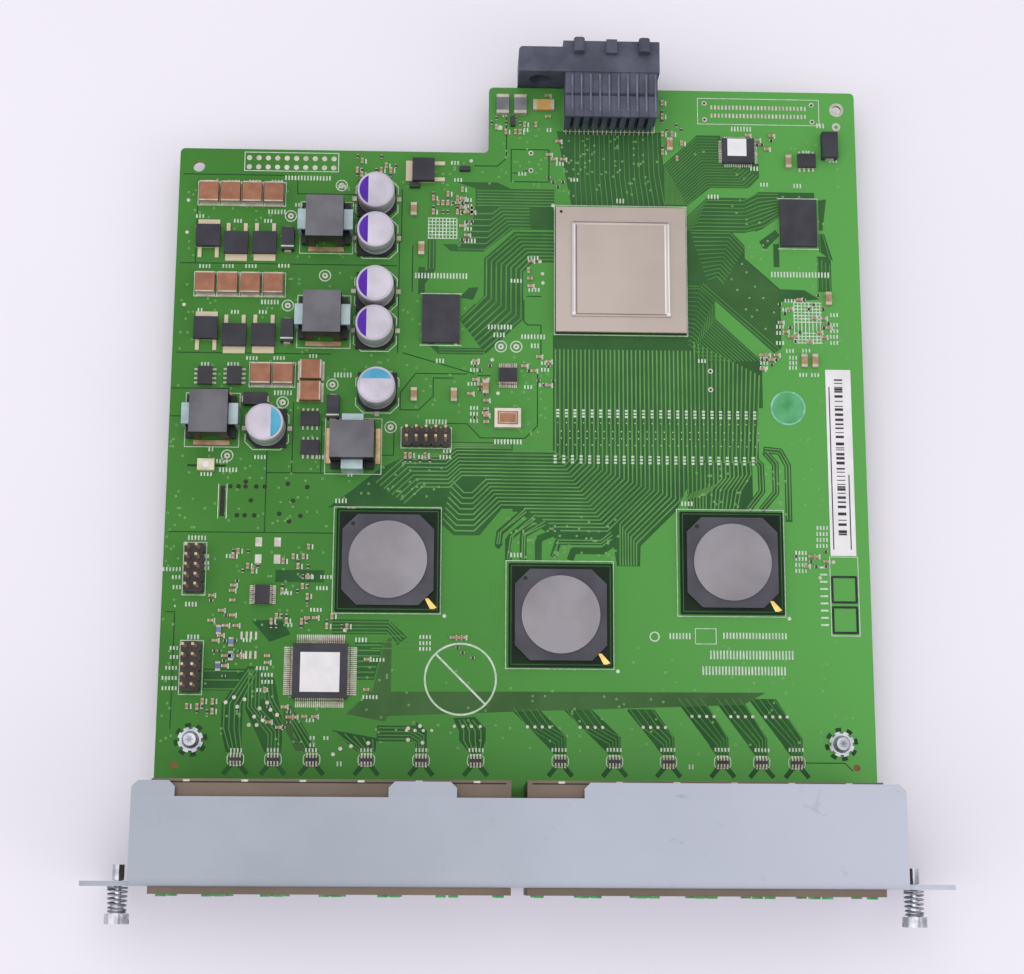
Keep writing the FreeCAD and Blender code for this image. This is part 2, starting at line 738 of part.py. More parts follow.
def build_backplane_connector():
    """One moulding with guide bore, keys and contact slots; y = 0 is its front."""
    body = new_body("backplane_housing")
    half = f"{MATING_WIDTH} / 2"
    plan = new_sketch(body, "XY_Plane", "-Sizes.board_thickness")
    guide_left = f"-{half} - Sizes.guide_width"
    draw_outline(plan, [
        (guide_left, "0"), (half, "0"), (half, "Sizes.mating_depth"),
        (f"-{half}", "Sizes.mating_depth"), (f"-{half}", "Sizes.guide_depth"),
        (guide_left, "Sizes.guide_depth")])
    pad(body, plan, "Sizes.mating_height + Sizes.board_thickness")
    round_edges(body, "1.2", lambda a, b: abs(a.z - b.z) > 1 and near(a.x, guide_left)
                and near(a.y, "Sizes.guide_depth"))

    bore = new_sketch(body, "XZ_Plane")
    draw_circle(bore, f"-{half} - Sizes.guide_width / 2", "Sizes.guide_height",
                "Sizes.guide_bore")
    pocket(body, bore, "Sizes.guide_depth")

    # Two tall keys and a low one between them, flush with the mating face.
    for step, factor in ((-1, 1.0), (0, 0.5), (1, 1.0)):
        key = new_sketch(body, "XZ_Plane", "-Sizes.mating_depth")
        middle = f"{step} * Sizes.key_spacing"
        reach = "Sizes.key_width / 2"
        top = f"Sizes.mating_height + {factor} * Sizes.key_height"
        shoulder = f"{top} - {factor - 0.5} * {reach}"
        draw_outline(key, [
            (f"{middle} - {reach}", "Sizes.mating_height - 0.5"),
            (f"{middle} + {reach}", "Sizes.mating_height - 0.5"),
            (f"{middle} + {reach}", shoulder), (f"{middle} + {reach} * 0.6", f"{top}"),
            (f"{middle} - {reach} * 0.6", f"{top}"), (f"{middle} - {reach}", shoulder)])
        pad(body, key, "Sizes.key_length")

    slot = new_sketch(body, "XZ_Plane", "-Sizes.mating_depth")
    first = f"-{WAFERS - 1} * Sizes.wafer_pitch / 2"
    draw_rectangle(slot, f"{first} - Sizes.slot_width / 2", "1",
                   f"{first} + Sizes.slot_width / 2", "Sizes.mating_height - 1.2")
    cut = pocket(body, slot, "Sizes.slot_depth", reverse=True)
    repeat_across(body, cut, WAFERS, "Sizes.wafer_pitch")
    place(body, "Sizes.mating_centre", MATING_FACE, BOARD_TOP)
    parts.append(body)

    wafers = []
    thickness = "(Sizes.wafer_pitch - Sizes.wafer_slit)"
    for index in range(WAFERS):
        wafer = new_body(f"wafer_{index + 1}")
        side = new_sketch(wafer, "YZ_Plane")
        notch = "-Sizes.wafer_depth / 2"
        draw_outline(side, [
            ("-Sizes.wafer_depth", "0"), ("0", "0"), ("0", "Sizes.wafer_height"),
            (f"{notch} + 0.5", "Sizes.wafer_height"), (notch, "Sizes.wafer_height - 0.6"),
            (f"{notch} - 0.5", "Sizes.wafer_height"),
            ("-Sizes.wafer_depth", "Sizes.wafer_height")])
        pad(wafer, side, thickness, middle=True)
        relief = new_sketch(wafer, "XY_Plane")
        draw_rectangle(relief, f"{thickness} / 2 - Sizes.wafer_relief", "-Sizes.wafer_depth",
                       f"{thickness} / 2", "1.5 - Sizes.wafer_depth")
        pocket(wafer, relief, "Sizes.wafer_height - 1", reverse=True)
        x = f"Sizes.mating_centre + ({index} - {(WAFERS - 1) / 2}) * Sizes.wafer_pitch"
        place(wafer, x, MATING_FACE, BOARD_TOP)
        wafers.append(wafer)
    parts.append(new_group("backplane_wafers", wafers))


# ----------------------------------------------------------- packages on the board


# Centre of the power supply's group of parts, at the left rear of the board.
POWER = (-62.0, 148.0)


def new_package(label, width, depth, height, x, y, group=(None, None)):
    """One moulded package as a box on the board, centred on its place."""
    box = new_box(label, width, depth, height, across(x, group[0]), along(y, group[1]),
                  BOARD_TOP)
    box.Label = label
    return box


def build_processor():
    """Large ball-grid package under a stepped metal lid."""
    x, y = 27.2, 160.4
    side = "Sizes.processor_side"
    substrate_height = "Sizes.processor_substrate_height"
    parts.append(new_package("processor_substrate", side, side, substrate_height, x, y))
    lid = new_body("processor_lid")
    plate = new_sketch(lid, "XY_Plane")
    draw_rectangle(plate, f"-{side} / 2", f"-{side} / 2", f"{side} / 2", f"{side} / 2")
    pad(lid, plate, "Sizes.processor_lid_height")
    panel = new_sketch(lid, "XY_Plane", "Sizes.processor_lid_height")
    edge = "Sizes.processor_panel / 2"
    draw_rectangle(panel, f"-{edge}", f"-{edge}", edge, edge)
    pad(lid, panel, "Sizes.processor_step")
    place(lid, across(x), along(y), f"{BOARD_TOP} + {substrate_height}")
    parts.append(lid)


TRANSCEIVERS = {"left": (-33.9, 80.9), "middle": (11.0, 66.9), "right": (55.8, 81.0)}


def build_transceivers():
    """Substrate, bevelled mould and round heat spreader of each port chip."""
    for side, (x, y) in TRANSCEIVERS.items():
        width = "Sizes.transceiver_side"
        first = "Sizes.transceiver_substrate_height"
        second = f"{first} + Sizes.transceiver_mould_height"
        parts.append(new_package(f"{side}_transceiver_substrate", width, width, first, x, y))
        mould = new_body(f"{side}_transceiver_mould")
        outline = new_sketch(mould, "XY_Plane")
        far = "Sizes.transceiver_mould / 2"
        cut = f"({far} - Sizes.transceiver_bevel)"
        draw_outline(outline, [
            (f"-{cut}", f"-{far}"), (cut, f"-{far}"), (far, f"-{cut}"), (far, cut),
            (cut, far), (f"-{cut}", far), (f"-{far}", cut), (f"-{far}", f"-{cut}")])
        pad(mould, outline, "Sizes.transceiver_mould_height")
        place(mould, across(x), along(y), f"{BOARD_TOP} + {first}")
        parts.append(mould)
        disc = doc.addObject("Part::Cylinder", f"{side}_transceiver_spreader")
        disc.Label = f"{side}_transceiver_spreader"
        disc.setExpression("Radius", "Sizes.spreader_diameter / 2")
        disc.setExpression("Height", "Sizes.spreader_height")
        place(disc, across(x), along(y), f"{BOARD_TOP} + {second}")
        parts.append(disc)


def build_chips():
    """The remaining integrated circuits, the oscillator and the lamp."""
    side = "Sizes.controller_side"
    parts.append(new_package("controller_chip", side, side, "Sizes.controller_height",
                             -50.8, 52.0))
    memory = [(-21.0, 146.4), (75.7, 174.8)]
    parts.append(new_group("memory_chips", [
        new_package(f"memory_{i}", "Sizes.memory_width", "Sizes.memory_depth",
                    "Sizes.memory_height", x, y) for i, (x, y) in enumerate(memory)]))
    parts.append(new_package("logic_chip", "Sizes.logic_width", "Sizes.logic_depth",
                             "Sizes.memory_height", 59.7, 195.3))
    parts.append(new_package("oscillator", "Sizes.oscillator_width", "Sizes.oscillator_depth",
                             "Sizes.oscillator_height", -3.0, 119.2))
    parts.append(new_package("status_lamp", "Sizes.lamp_width", "Sizes.lamp_depth",
                             "Sizes.lamp_height", -81.9, 105.7))


# Places of the small-outline chips; the turned ones have their leads left and right.
OUTLINE_CHIPS = [(-83.1, 129.9, 90), (-75.4, 130.0, 90), (-55.1, 118.5, 0), (-54.9, 110.7, 0),
                 (78.4, 192.7, 0), (-3.0, 131.0, 0), (-66.1, 71.6, 90)]


def group_of(x, y):
    """The power group for places inside it, and none for the others."""
    inside = x < -30 and 100 < y < 190
    return POWER if inside else (None, None)


def build_outline_chips():
    """Eight-lead packages: a body over two rows of leads."""
    chips = []
    for index, (x, y, turn) in enumerate(OUTLINE_CHIPS):
        chip = new_body(f"outline_chip_{index + 1}")
        leads = new_sketch(chip, "XY_Plane")
        reach = "Sizes.outline_width / 2 + Sizes.outline_lead"
        pitch = "Sizes.outline_length / 4"
        for column in range(4):
            middle = f"({column} - 1.5) * {pitch}"
            draw_rectangle(leads, f"{middle} - {pitch} / 5", f"-({reach})",
                           f"{middle} + {pitch} / 5", reach)
        pad(chip, leads, "0.3")
        block = new_sketch(chip, "XY_Plane")
        draw_rectangle(block, "-Sizes.outline_length / 2", "-Sizes.outline_width / 2",
                       "Sizes.outline_length / 2", "Sizes.outline_width / 2")
        pad(chip, block, "Sizes.outline_height")
        group = group_of(x, y)
        place(chip, across(x, group[0]), along(y, group[1]), BOARD_TOP, turn)
        chips.append(chip)
    parts.append(new_group("small_outline_chips", chips))


# Places of the power transistors and the side that the tab points to, in degrees.
TRANSISTORS = [(-83.6, 168.6, 180), (-76.1, 166.7, 0), (-68.5, 166.8, 0), (-83.3, 142.8, 180),
               (-75.8, 141.0, 0), (-68.1, 141.1, 0), (-26.2, 188.2, 270)]


def build_transistors():
    """Body with a metal tab in front and two legs behind."""
    pieces = []
    for index, (x, y, turn) in enumerate(TRANSISTORS):
        piece = new_body(f"transistor_{index + 1}")
        block = new_sketch(piece, "XY_Plane")
        half = "Sizes.transistor_width / 2"
        deep = "Sizes.transistor_depth / 2"
        draw_rectangle(block, f"-{half}", f"-{deep}", half, deep)
        pad(piece, block, "Sizes.transistor_height")
        metal = new_sketch(piece, "XY_Plane")
        draw_rectangle(metal, f"0.3 - {half}", f"-{deep} - Sizes.transistor_tab",
                       f"{half} - 0.3", "0")
        for sign in ("-", "+"):
            draw_rectangle(metal, f"{sign} 2.3 - 0.5", "0.5", f"{sign} 2.3 + 0.5",
                           f"{deep} + Sizes.transistor_lead")
        pad(piece, metal, "0.5")
        group = group_of(x, y)
        place(piece, across(x, group[0]), along(y, group[1]), BOARD_TOP, turn)
        pieces.append(piece)
    parts.append(new_group("power_transistors", pieces))


def build_passives():
    """Ceramic capacitors, diodes, arrays, beads, fuse and tantalum capacitor."""
    rows = [(181.0, (-83.8, -78.0, -72.2, -66.4)), (155.4, (-83.9, -77.9, -71.9, -65.8)),
            (130.5, (-68.4, -62.5))]
    upright = [(x, y) for y, columns in rows for x in columns]
    lying = [(-55.2, 131.7), (-55.3, 125.8)]
    capacitors = [new_package("ceramic", "Sizes.ceramic_width", "Sizes.ceramic_length",
                              "Sizes.ceramic_height", x, y, POWER) for x, y in upright]
    capacitors += [new_package("ceramic", "Sizes.ceramic_length", "Sizes.ceramic_width",
                               "Sizes.ceramic_height", x, y, POWER) for x, y in lying]
    parts.append(new_group("ceramic_capacitors", capacitors))

    diodes = [new_package("diode", "Sizes.diode_width", "Sizes.diode_length",
                          "Sizes.diode_height", x, y, POWER)
              for x, y in ((-62.3, 168.0), (-61.8, 142.4), (-49.1, 121.6))]
    diodes.append(new_package("diode", "Sizes.diode_length", "Sizes.diode_width",
                              "Sizes.diode_height", -69.6, 123.6, POWER))
    parts.append(new_group("rectifier_diodes", diodes))

    columns = (-71.7, -62.2, -52.4, -38.5, -24.6, -10.7, 10.9, 24.8, 38.6, 52.5, 62.5, 71.6)
    parts.append(new_group("resistor_arrays", [
        new_box("array", "Sizes.array_width", "Sizes.array_depth", "Sizes.array_height",
                across(x), f"({BLOCK_REAR} + Sizes.array_gap)", BOARD_TOP)
        for x in columns]))
    parts.append(new_group("ferrite_beads", [
        new_package("bead", "Sizes.bead_width", "Sizes.bead_depth", "Sizes.bead_height",
                    x, 207.7) for x in (-4.8, 0.0)]))
    parts.append(new_package("fuse", "Sizes.fuse_width", "Sizes.fuse_depth",
                             "Sizes.fuse_height", 6.4, 207.8))
    parts.append(new_package("tantalum_capacitor", "Sizes.tantalum_width",
                             "Sizes.tantalum_depth", "Sizes.tantalum_height", 84.7, 196.9))


INDUCTORS = [(-52.1, 172.0, 0), (-52.2, 145.6, 0), (-80.8, 118.3, 0), (-43.6, 111.3, 90)]


def build_inductors():
    """Ferrite core with a window at each end and a folded strap through it."""
    for index, (x, y, turn) in enumerate(INDUCTORS, start=1):
        core = new_body(f"inductor_core_{index}")
        front = new_sketch(core, "XZ_Plane")
        half = "Sizes.core_width / 2"
        foot = "Sizes.core_foot / 2"
        step = "Sizes.core_foot_height"
        window = "Sizes.core_window / 2"
        sill = "1.0"
        arch = f"{step} + 1.5"
        draw_outline(front, [
            (f"-{foot}", sill), (f"-{window}", sill), (f"-{window}", arch), (window, arch),
            (window, sill), (foot, sill), (foot, step), (half, step),
            (half, "Sizes.core_height"), (f"-{half}", "Sizes.core_height"),
            (f"-{half}", step), (f"-{foot}", step)])
        pad(core, front, "Sizes.core_depth", middle=True)
        place(core, across(x, POWER[0]), along(y, POWER[1]), BOARD_TOP, turn)
        parts.append(core)

        strap = new_body(f"inductor_strap_{index}")
        side = new_sketch(strap, "XZ_Plane")
        thick = "Sizes.strap_thickness"
        outer = f"{foot} + {thick}"
        draw_outline(side, [
            (f"-({outer})", "0"), (outer, "0"), (outer, "Sizes.strap_height"),
            (half, "Sizes.strap_height"), (half, f"Sizes.strap_height - {thick}"),
            (foot, f"Sizes.strap_height - {thick}"), (foot, thick), (f"-{foot}", thick),
            (f"-{foot}", f"Sizes.strap_height - {thick}"),
            (f"-{half}", f"Sizes.strap_height - {thick}"),
            (f"-{half}", "Sizes.strap_height"), (f"-({outer})", "Sizes.strap_height")])
        pad(strap, side, "Sizes.strap_width", middle=True)
        place(strap, across(x, POWER[0]), along(y, POWER[1]), BOARD_TOP, turn)
        parts.append(strap)


CANS = [(-38.7, 180.0, 0), (-38.6, 168.9, 0), (-38.5, 153.9, 0), (-38.5, 143.0, 0),
        (-37.6, 126.1, 270), (-66.4, 115.8, 180)]


def build_cans():
    """Aluminium can on a bevelled black base."""
    bases = []
    for index, (x, y, turn) in enumerate(CANS, start=1):
        base = new_body(f"can_base_{index}")
        outline = new_sketch(base, "XY_Plane")
        half = "Sizes.can_base_side / 2"
        cut = f"({half} - Sizes.can_base_bevel)"
        draw_outline(outline, [
            (f"-{half}", f"-{half}"), (cut, f"-{half}"), (half, f"-{cut}"), (half, cut),
            (cut, half), (f"-{half}", half)])
        pad(base, outline, "Sizes.can_base_height")
        place(base, across(x, POWER[0]), along(y, POWER[1]), BOARD_TOP, turn)
        bases.append(base)

        can = new_body(f"can_capacitor_{index}")
        profile = new_sketch(can, "XZ_Plane")
        radius = "Sizes.can_diameter / 2"
        tall = "(Sizes.can_height - Sizes.can_base_height)"
        draw_rectangle(profile, "0", "0", radius, tall)
        turn_round(can, profile)
        place(can, across(x, POWER[0]), along(y, POWER[1]),
              f"{BOARD_TOP} + Sizes.can_base_height")
        parts.append(can)
    parts.append(new_group("can_bases", bases))


HEADERS = [(-24.4, 113.8, 0), (-83.9, 78.3, 90), (-83.8, 52.7, 90)]
HEADER_COLUMNS = 5


def build_headers():
    """Two-row pin headers: a strip with notched sides and square pins through it."""
    strips = []
    pins = []
    pitch = "Sizes.header_pitch"
    for index, (x, y, turn) in enumerate(HEADERS, start=1):
        strip = new_body(f"header_strip_{index}")
        plan = new_sketch(strip, "XY_Plane")
        first = f"(-{HEADER_COLUMNS / 2} * {pitch})"
        near_side = [(first, f"Sizes.header_bevel - {pitch}")]
        for column in range(HEADER_COLUMNS):
            start = f"{first} + {column} * {pitch}"
            near_side += [(f"{start} + Sizes.header_bevel", f"-{pitch}"),
                          (f"{start} + {pitch} - Sizes.header_bevel", f"-{pitch}"),
                          (f"{start} + {pitch}", f"Sizes.header_bevel - {pitch}")]
        far_side = [(across_strip, f"-({out})") for across_strip, out in reversed(near_side)]
        draw_outline(plan, near_side + far_side)
        pad(strip, plan, "Sizes.header_height")
        place(strip, across(x), along(y), BOARD_TOP, turn)
        strips.append(strip)

        row = new_body(f"header_row_{index}")
        ends = new_sketch(row, "XY_Plane", "Sizes.header_height")
        start = f"-{(HEADER_COLUMNS - 1) / 2} * {pitch}"
        half = "Sizes.header_pin / 2"
        for sign in ("-", "+"):
            middle = f"{sign}{pitch} / 2"
            draw_rectangle(ends, f"{start} - {half}", f"{middle} - {half}",
                           f"{start} + {half}", f"{middle} + {half}")
        pin = pad(row, ends, "Sizes.header_pin_height - Sizes.header_height")
        repeat_across(row, pin, HEADER_COLUMNS, pitch)
        place(row, across(x), along(y), BOARD_TOP, turn)
        pins.append(row)
    parts.append(new_group("header_strips", strips))
    parts.append(new_group("header_pins", pins))


build_circuit_board()
build_faceplate()
build_board_fasteners()
build_captive_screws()
build_jack_blocks()
build_backplane_connector()
build_processor()
build_transceivers()
build_chips()
build_outline_chips()
build_transistors()
build_passives()
build_inductors()
build_cans()
build_headers()
doc.recompute()

for thing in doc.Objects:
    if "Invalid" in thing.State or "Error" in thing.State:
        raise RuntimeError(f"{thing.Name} failed: {thing.State}")
os.makedirs("parts", exist_ok=True)
for part in parts:
    if part.Shape.isNull() or not part.Shape.isValid():
        raise RuntimeError(f"{part.Label} has no valid shape")
    part.Shape.exportStep(f"parts/{part.Label}.step")
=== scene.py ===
"""The looks of a switch line card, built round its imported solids.

The sections follow the card as it is put together: bare board, printed circuit, faceplate and its screws,
jacks, backplane connector, chips, power parts, small parts, labels, and last the studio.
Lengths are in millimetres until a mesh is made. On the board, across runs from the card's middle and
back runs from the board's rear edge, so that it is negative toward the jacks.
"""

from math import radians

import bpy
import numpy as np
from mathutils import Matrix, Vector


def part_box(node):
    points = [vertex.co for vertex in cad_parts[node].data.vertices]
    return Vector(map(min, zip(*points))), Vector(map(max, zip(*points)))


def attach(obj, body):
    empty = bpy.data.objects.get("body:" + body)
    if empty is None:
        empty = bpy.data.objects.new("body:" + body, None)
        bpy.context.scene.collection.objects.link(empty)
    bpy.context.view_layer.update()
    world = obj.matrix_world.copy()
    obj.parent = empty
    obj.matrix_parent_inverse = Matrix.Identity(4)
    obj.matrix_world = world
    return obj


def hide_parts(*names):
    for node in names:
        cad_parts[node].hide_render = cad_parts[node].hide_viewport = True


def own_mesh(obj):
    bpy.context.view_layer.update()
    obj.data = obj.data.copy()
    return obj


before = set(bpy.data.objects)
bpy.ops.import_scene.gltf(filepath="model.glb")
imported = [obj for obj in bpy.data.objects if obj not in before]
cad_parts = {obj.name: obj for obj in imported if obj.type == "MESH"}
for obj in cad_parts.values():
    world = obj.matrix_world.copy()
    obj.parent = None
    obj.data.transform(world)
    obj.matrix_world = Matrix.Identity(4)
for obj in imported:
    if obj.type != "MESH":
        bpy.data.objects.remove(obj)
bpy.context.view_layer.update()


# ---- Bare board ------------------------------------------------------------------------------------------
# A sheet of glass fibre laminate under glossy green solder resist, routed to shape with one rear corner cut
# away. The resist looks lighter where copper lies under it, and the cut edges show the pale laminate.

BOARD_LOW, BOARD_HIGH = (np.array(corner) * 1000 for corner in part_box("circuit_board"))
REAR_EDGE = BOARD_HIGH[1]
BOARD_TOP = BOARD_HIGH[2]


def tone(red, green, blue):
    """Linear colour of a tone given in display steps from 0 to 255, by the display's own curve."""
    share = np.array((red, green, blue)) / 255
    linear = np.where(share > 0.04045, ((share + 0.055) / 1.055) ** 2.4, share / 12.92)
    return (*linear.tolist(), 1.0)


def feed(node, *sockets, **inputs):
    """Links sockets to a node's inputs in order, then links or sets the inputs it is given by name."""
    links = node.id_data.links
    for target, socket in zip(node.inputs, sockets):
        links.new(socket, target)
    for name, value in inputs.items():
        target = node.inputs[name.replace("_", " ")]
        if isinstance(value, bpy.types.NodeSocket):
            links.new(value, target)
        else:
            target.default_value = value
    return node


def add_node(tree, kind, *sockets, **inputs):
    """Adds a shader node of a kind and feeds its inputs."""
    return feed(tree.nodes.new("ShaderNode" + kind), *sockets, **inputs)


def mixed(tree, share, first, second):
    """The mix of two colours: the first alone where share is 0, the second alone where it is 1."""
    mix = tree.nodes.new("ShaderNodeMix")
    mix.data_type = "RGBA"
    return feed(mix, Factor=share, A=first, B=second).outputs["Result"]


def finish(name, dark, light, roughness, metallic=0.0, cloud=300.0, grain=2600.0, lift=0.1, shine=0.3):
    """A finish whose colour drifts from dark to light with a soft cloud of noise, cloud waves to the metre.

    Both colours are given in display steps. A second noise, grain waves to the metre, raises and sinks the
    surface by lift tenths of a millimetre and moves the roughness a little up and down.
    """
    material = bpy.data.materials.new(name)
    material.use_nodes = True
    tree = material.node_tree
    place = add_node(tree, "TexCoord").outputs["Object"]
    drift = add_node(tree, "TexNoise", Vector=place, Scale=cloud, Detail=4.0)
    ramp = add_node(tree, "ValToRGB", drift.outputs["Fac"])
    for element, position, colour in zip(ramp.color_ramp.elements, (0.36, 0.64), (dark, light)):
        element.position = position
        element.color = tone(*colour)
    fine = add_node(tree, "TexNoise", Vector=place, Scale=grain, Detail=3.0)
    gloss = add_node(tree, "MapRange", fine.outputs["Fac"], To_Min=roughness - 0.06, To_Max=roughness + 0.06)
    bump = add_node(tree, "Bump", Strength=lift, Distance=0.0001, Height=fine.outputs["Fac"])
    feed(tree.nodes["Principled BSDF"], Metallic=metallic, Specular_IOR_Level=shine,
         Base_Color=ramp.outputs["Color"], Roughness=gloss.outputs["Result"], Normal=bump.outputs["Normal"])
    return material


def tint_by_side(material, low, high, tint, axis="X", amount=1.0):
    """Mixes tint into a finish's tones in proportion to how far a point lies from low to high along axis."""
    tree = material.node_tree
    colour = tree.nodes["Principled BSDF"].inputs["Base Color"]
    split = add_node(tree, "SeparateXYZ", add_node(tree, "TexCoord").outputs["Object"])
    share = add_node(tree, "MapRange", split.outputs[axis], From_Min=low / 1000, From_Max=high / 1000,
                     To_Max=amount)
    tree.links.new(mixed(tree, share.outputs["Result"], colour.links[0].from_socket, tint), colour)


def tint_walls(material, tint):
    """Gives tint to the upright faces of a finish and leaves the level ones as they are."""
    tree = material.node_tree
    colour = tree.nodes["Principled BSDF"].inputs["Base Color"]
    split = add_node(tree, "SeparateXYZ", add_node(tree, "NewGeometry").outputs["Normal"])
    level = add_node(tree, "Math", split.outputs["Z"])
    level.operation = "ABSOLUTE"
    tree.links.new(mixed(tree, level.outputs["Value"], tint, colour.links[0].from_socket), colour)


def dress(material, *names):
    """Gives the named solids this finish in place of their plain ones."""
    for name in names:
        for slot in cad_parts[name].material_slots:
            slot.material = material


resist = finish("resist_over_copper", (60, 122, 44), (68, 132, 50), 0.4, cloud=26, lift=0.06, shine=0.15)
# Painted light: the resist is mixed lighter toward the right side of the card, where more light falls.
tint_by_side(resist, -70, 92, tone(96, 170, 82), amount=0.9)
tint_walls(resist, tone(158, 152, 92))
dress(resist, "circuit_board")


# ---- Printed circuit -------------------------------------------------------------------------------------
# Etched copper under the resist shows as fine lines of lighter green on darker laminate. The layers are
# laid a few thousandths of a millimetre apart: cleared areas, tracks, gaps, then bare metal and ink.

# How high each layer lies over the top of the board.
LAYER = {"cleared": 0.010, "band": 0.016, "tracks": 0.022, "fine tracks": 0.028, "gaps": 0.034,
         "rims": 0.040, "shut holes": 0.046, "open holes": 0.052, "bare metal": 0.058, "lead pads": 0.060,
         "bare pads": 0.064, "ink": 0.070, "thin wash": 0.073, "small marks": 0.074, "wash": 0.076,
         "stamp ink": 0.082, "soldered pads": 0.088, "lattices": 0.088, "part marks": 0.094,
         "paper": 0.110, "paper ink": 0.118}


def on_board(flat, height):
    """Places flat shapes, given across and back, on the board: back is measured from the rear edge."""
    flat = np.asarray(flat, float)
    level = np.full(flat.shape[:-1] + (1,), BOARD_TOP + height)
    return np.concatenate([flat + (0, REAR_EDGE), level], axis=-1)


def build(name, points, faces, material, slot, body="card"):
    """Makes a piece of points in millimetres and their faces and fixes it to a body; slot is not used."""
    mesh = bpy.data.meshes.new(name)
    groups = faces if isinstance(faces, list) else [faces]
    faces = [face for group in groups for face in np.asarray(group).tolist()]
    mesh.from_pydata((np.asarray(points) / 1000).tolist(), [], faces)
    mesh.materials.append(material)
    piece = bpy.data.objects.new(name, mesh)
    bpy.context.collection.objects.link(piece)
    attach(piece, body)
    return piece


def quads(points):
    """Faces of points that come in fours, each four the corners of one face."""
    return np.arange(len(points)).reshape(-1, 4)


def grid(across, back):
    """Every place of a grid, given how far across its columns and how far back its rows are."""
    return np.stack([part.ravel() for part in np.meshgrid(across, back)], -1)


PATCH_STEP = 0.0002
PATCH_STEPS = 24


def lay(name, corners, height, material, slot="solder_mask"):
    """Lays four-cornered patches on the board, facing up.

    Each patch lies a fraction of a micrometre over the one before, in steps that start again after 24, so
    that patches that cross never share one plane.
    """
    corners = np.asarray(corners, float)
    side = np.roll(corners, -1, axis=1) - corners
    turning = side[:, 0, 0] * side[:, 1, 1] - side[:, 0, 1] * side[:, 1, 0]
    corners = np.where(turning[:, None, None] < 0, corners[:, ::-1], corners)
    points = on_board(corners, height)
    points[..., 2] += (np.arange(len(corners)) % PATCH_STEPS * PATCH_STEP)[:, None]
    points = points.reshape(-1, 3)
    return build(name, points, quads(points), material, slot)


def lines(path, width):
    """Patches along broken lines: each run is widened by half the width to both sides of its direction."""
    path = np.asarray(path, float)
    start, end = path[..., :-1, :], path[..., 1:, :]
    run = end - start
    length = np.maximum(np.linalg.norm(run, axis=-1, keepdims=True), 1e-6)
    side = np.stack([-run[..., 1], run[..., 0]], axis=-1) / length * width / 2
    reach = run / length * width * 0.2
    patch = np.stack([start - side - reach, end - side + reach, end + side + reach, start + side - reach],
                     axis=-2)
    return patch.reshape(-1, 4, 2)


def bundle(count, width, *gates):
    """Tracks side by side: each gate is a line that all of them cross, evenly spaced from end to end."""
    gates = np.asarray(gates, float).reshape(-1, 2, 2)
    share = np.linspace(0, 1, count)[:, None, None]
    return lines(gates[None, :, 0] * (1 - share) + gates[None, :, 1] * share, width)


def upright(x, y, half):
    """The two ends of a line that reaches half to the front and half to the rear of its place."""
    return [(x, y - half), (x, y + half)]


def box_of(left, right, front, back):
    """The four corners of an upright rectangle, in order."""
    return [(left, front), (right, front), (right, back), (left, back)]


def frames(rectangles, width):
    """Outlines of rectangles given as left, right, front and back."""
    left, right, front, back = np.asarray(rectangles, float).T
    ring = np.stack([np.stack(pair, axis=-1) for pair in
                     ((left, front), (right, front), (right, back), (left, back), (left, front))], axis=1)
    return lines(ring, width)


def rounds(places, inner, outer, sides=12):
    """Flat rings round the given places, each made of as many patches as it has sides."""
    places = np.asarray(places, float)
    angle = np.linspace(0, 2 * np.pi, sides + 1)
    spoke = np.stack([np.cos(angle), np.sin(angle)], axis=-1)
    patch = np.stack([spoke[:-1] * inner, spoke[:-1] * outer, spoke[1:] * outer, spoke[1:] * inner], axis=1)
    return (places[:, None, None] + patch[None]).reshape(-1, 4, 2)


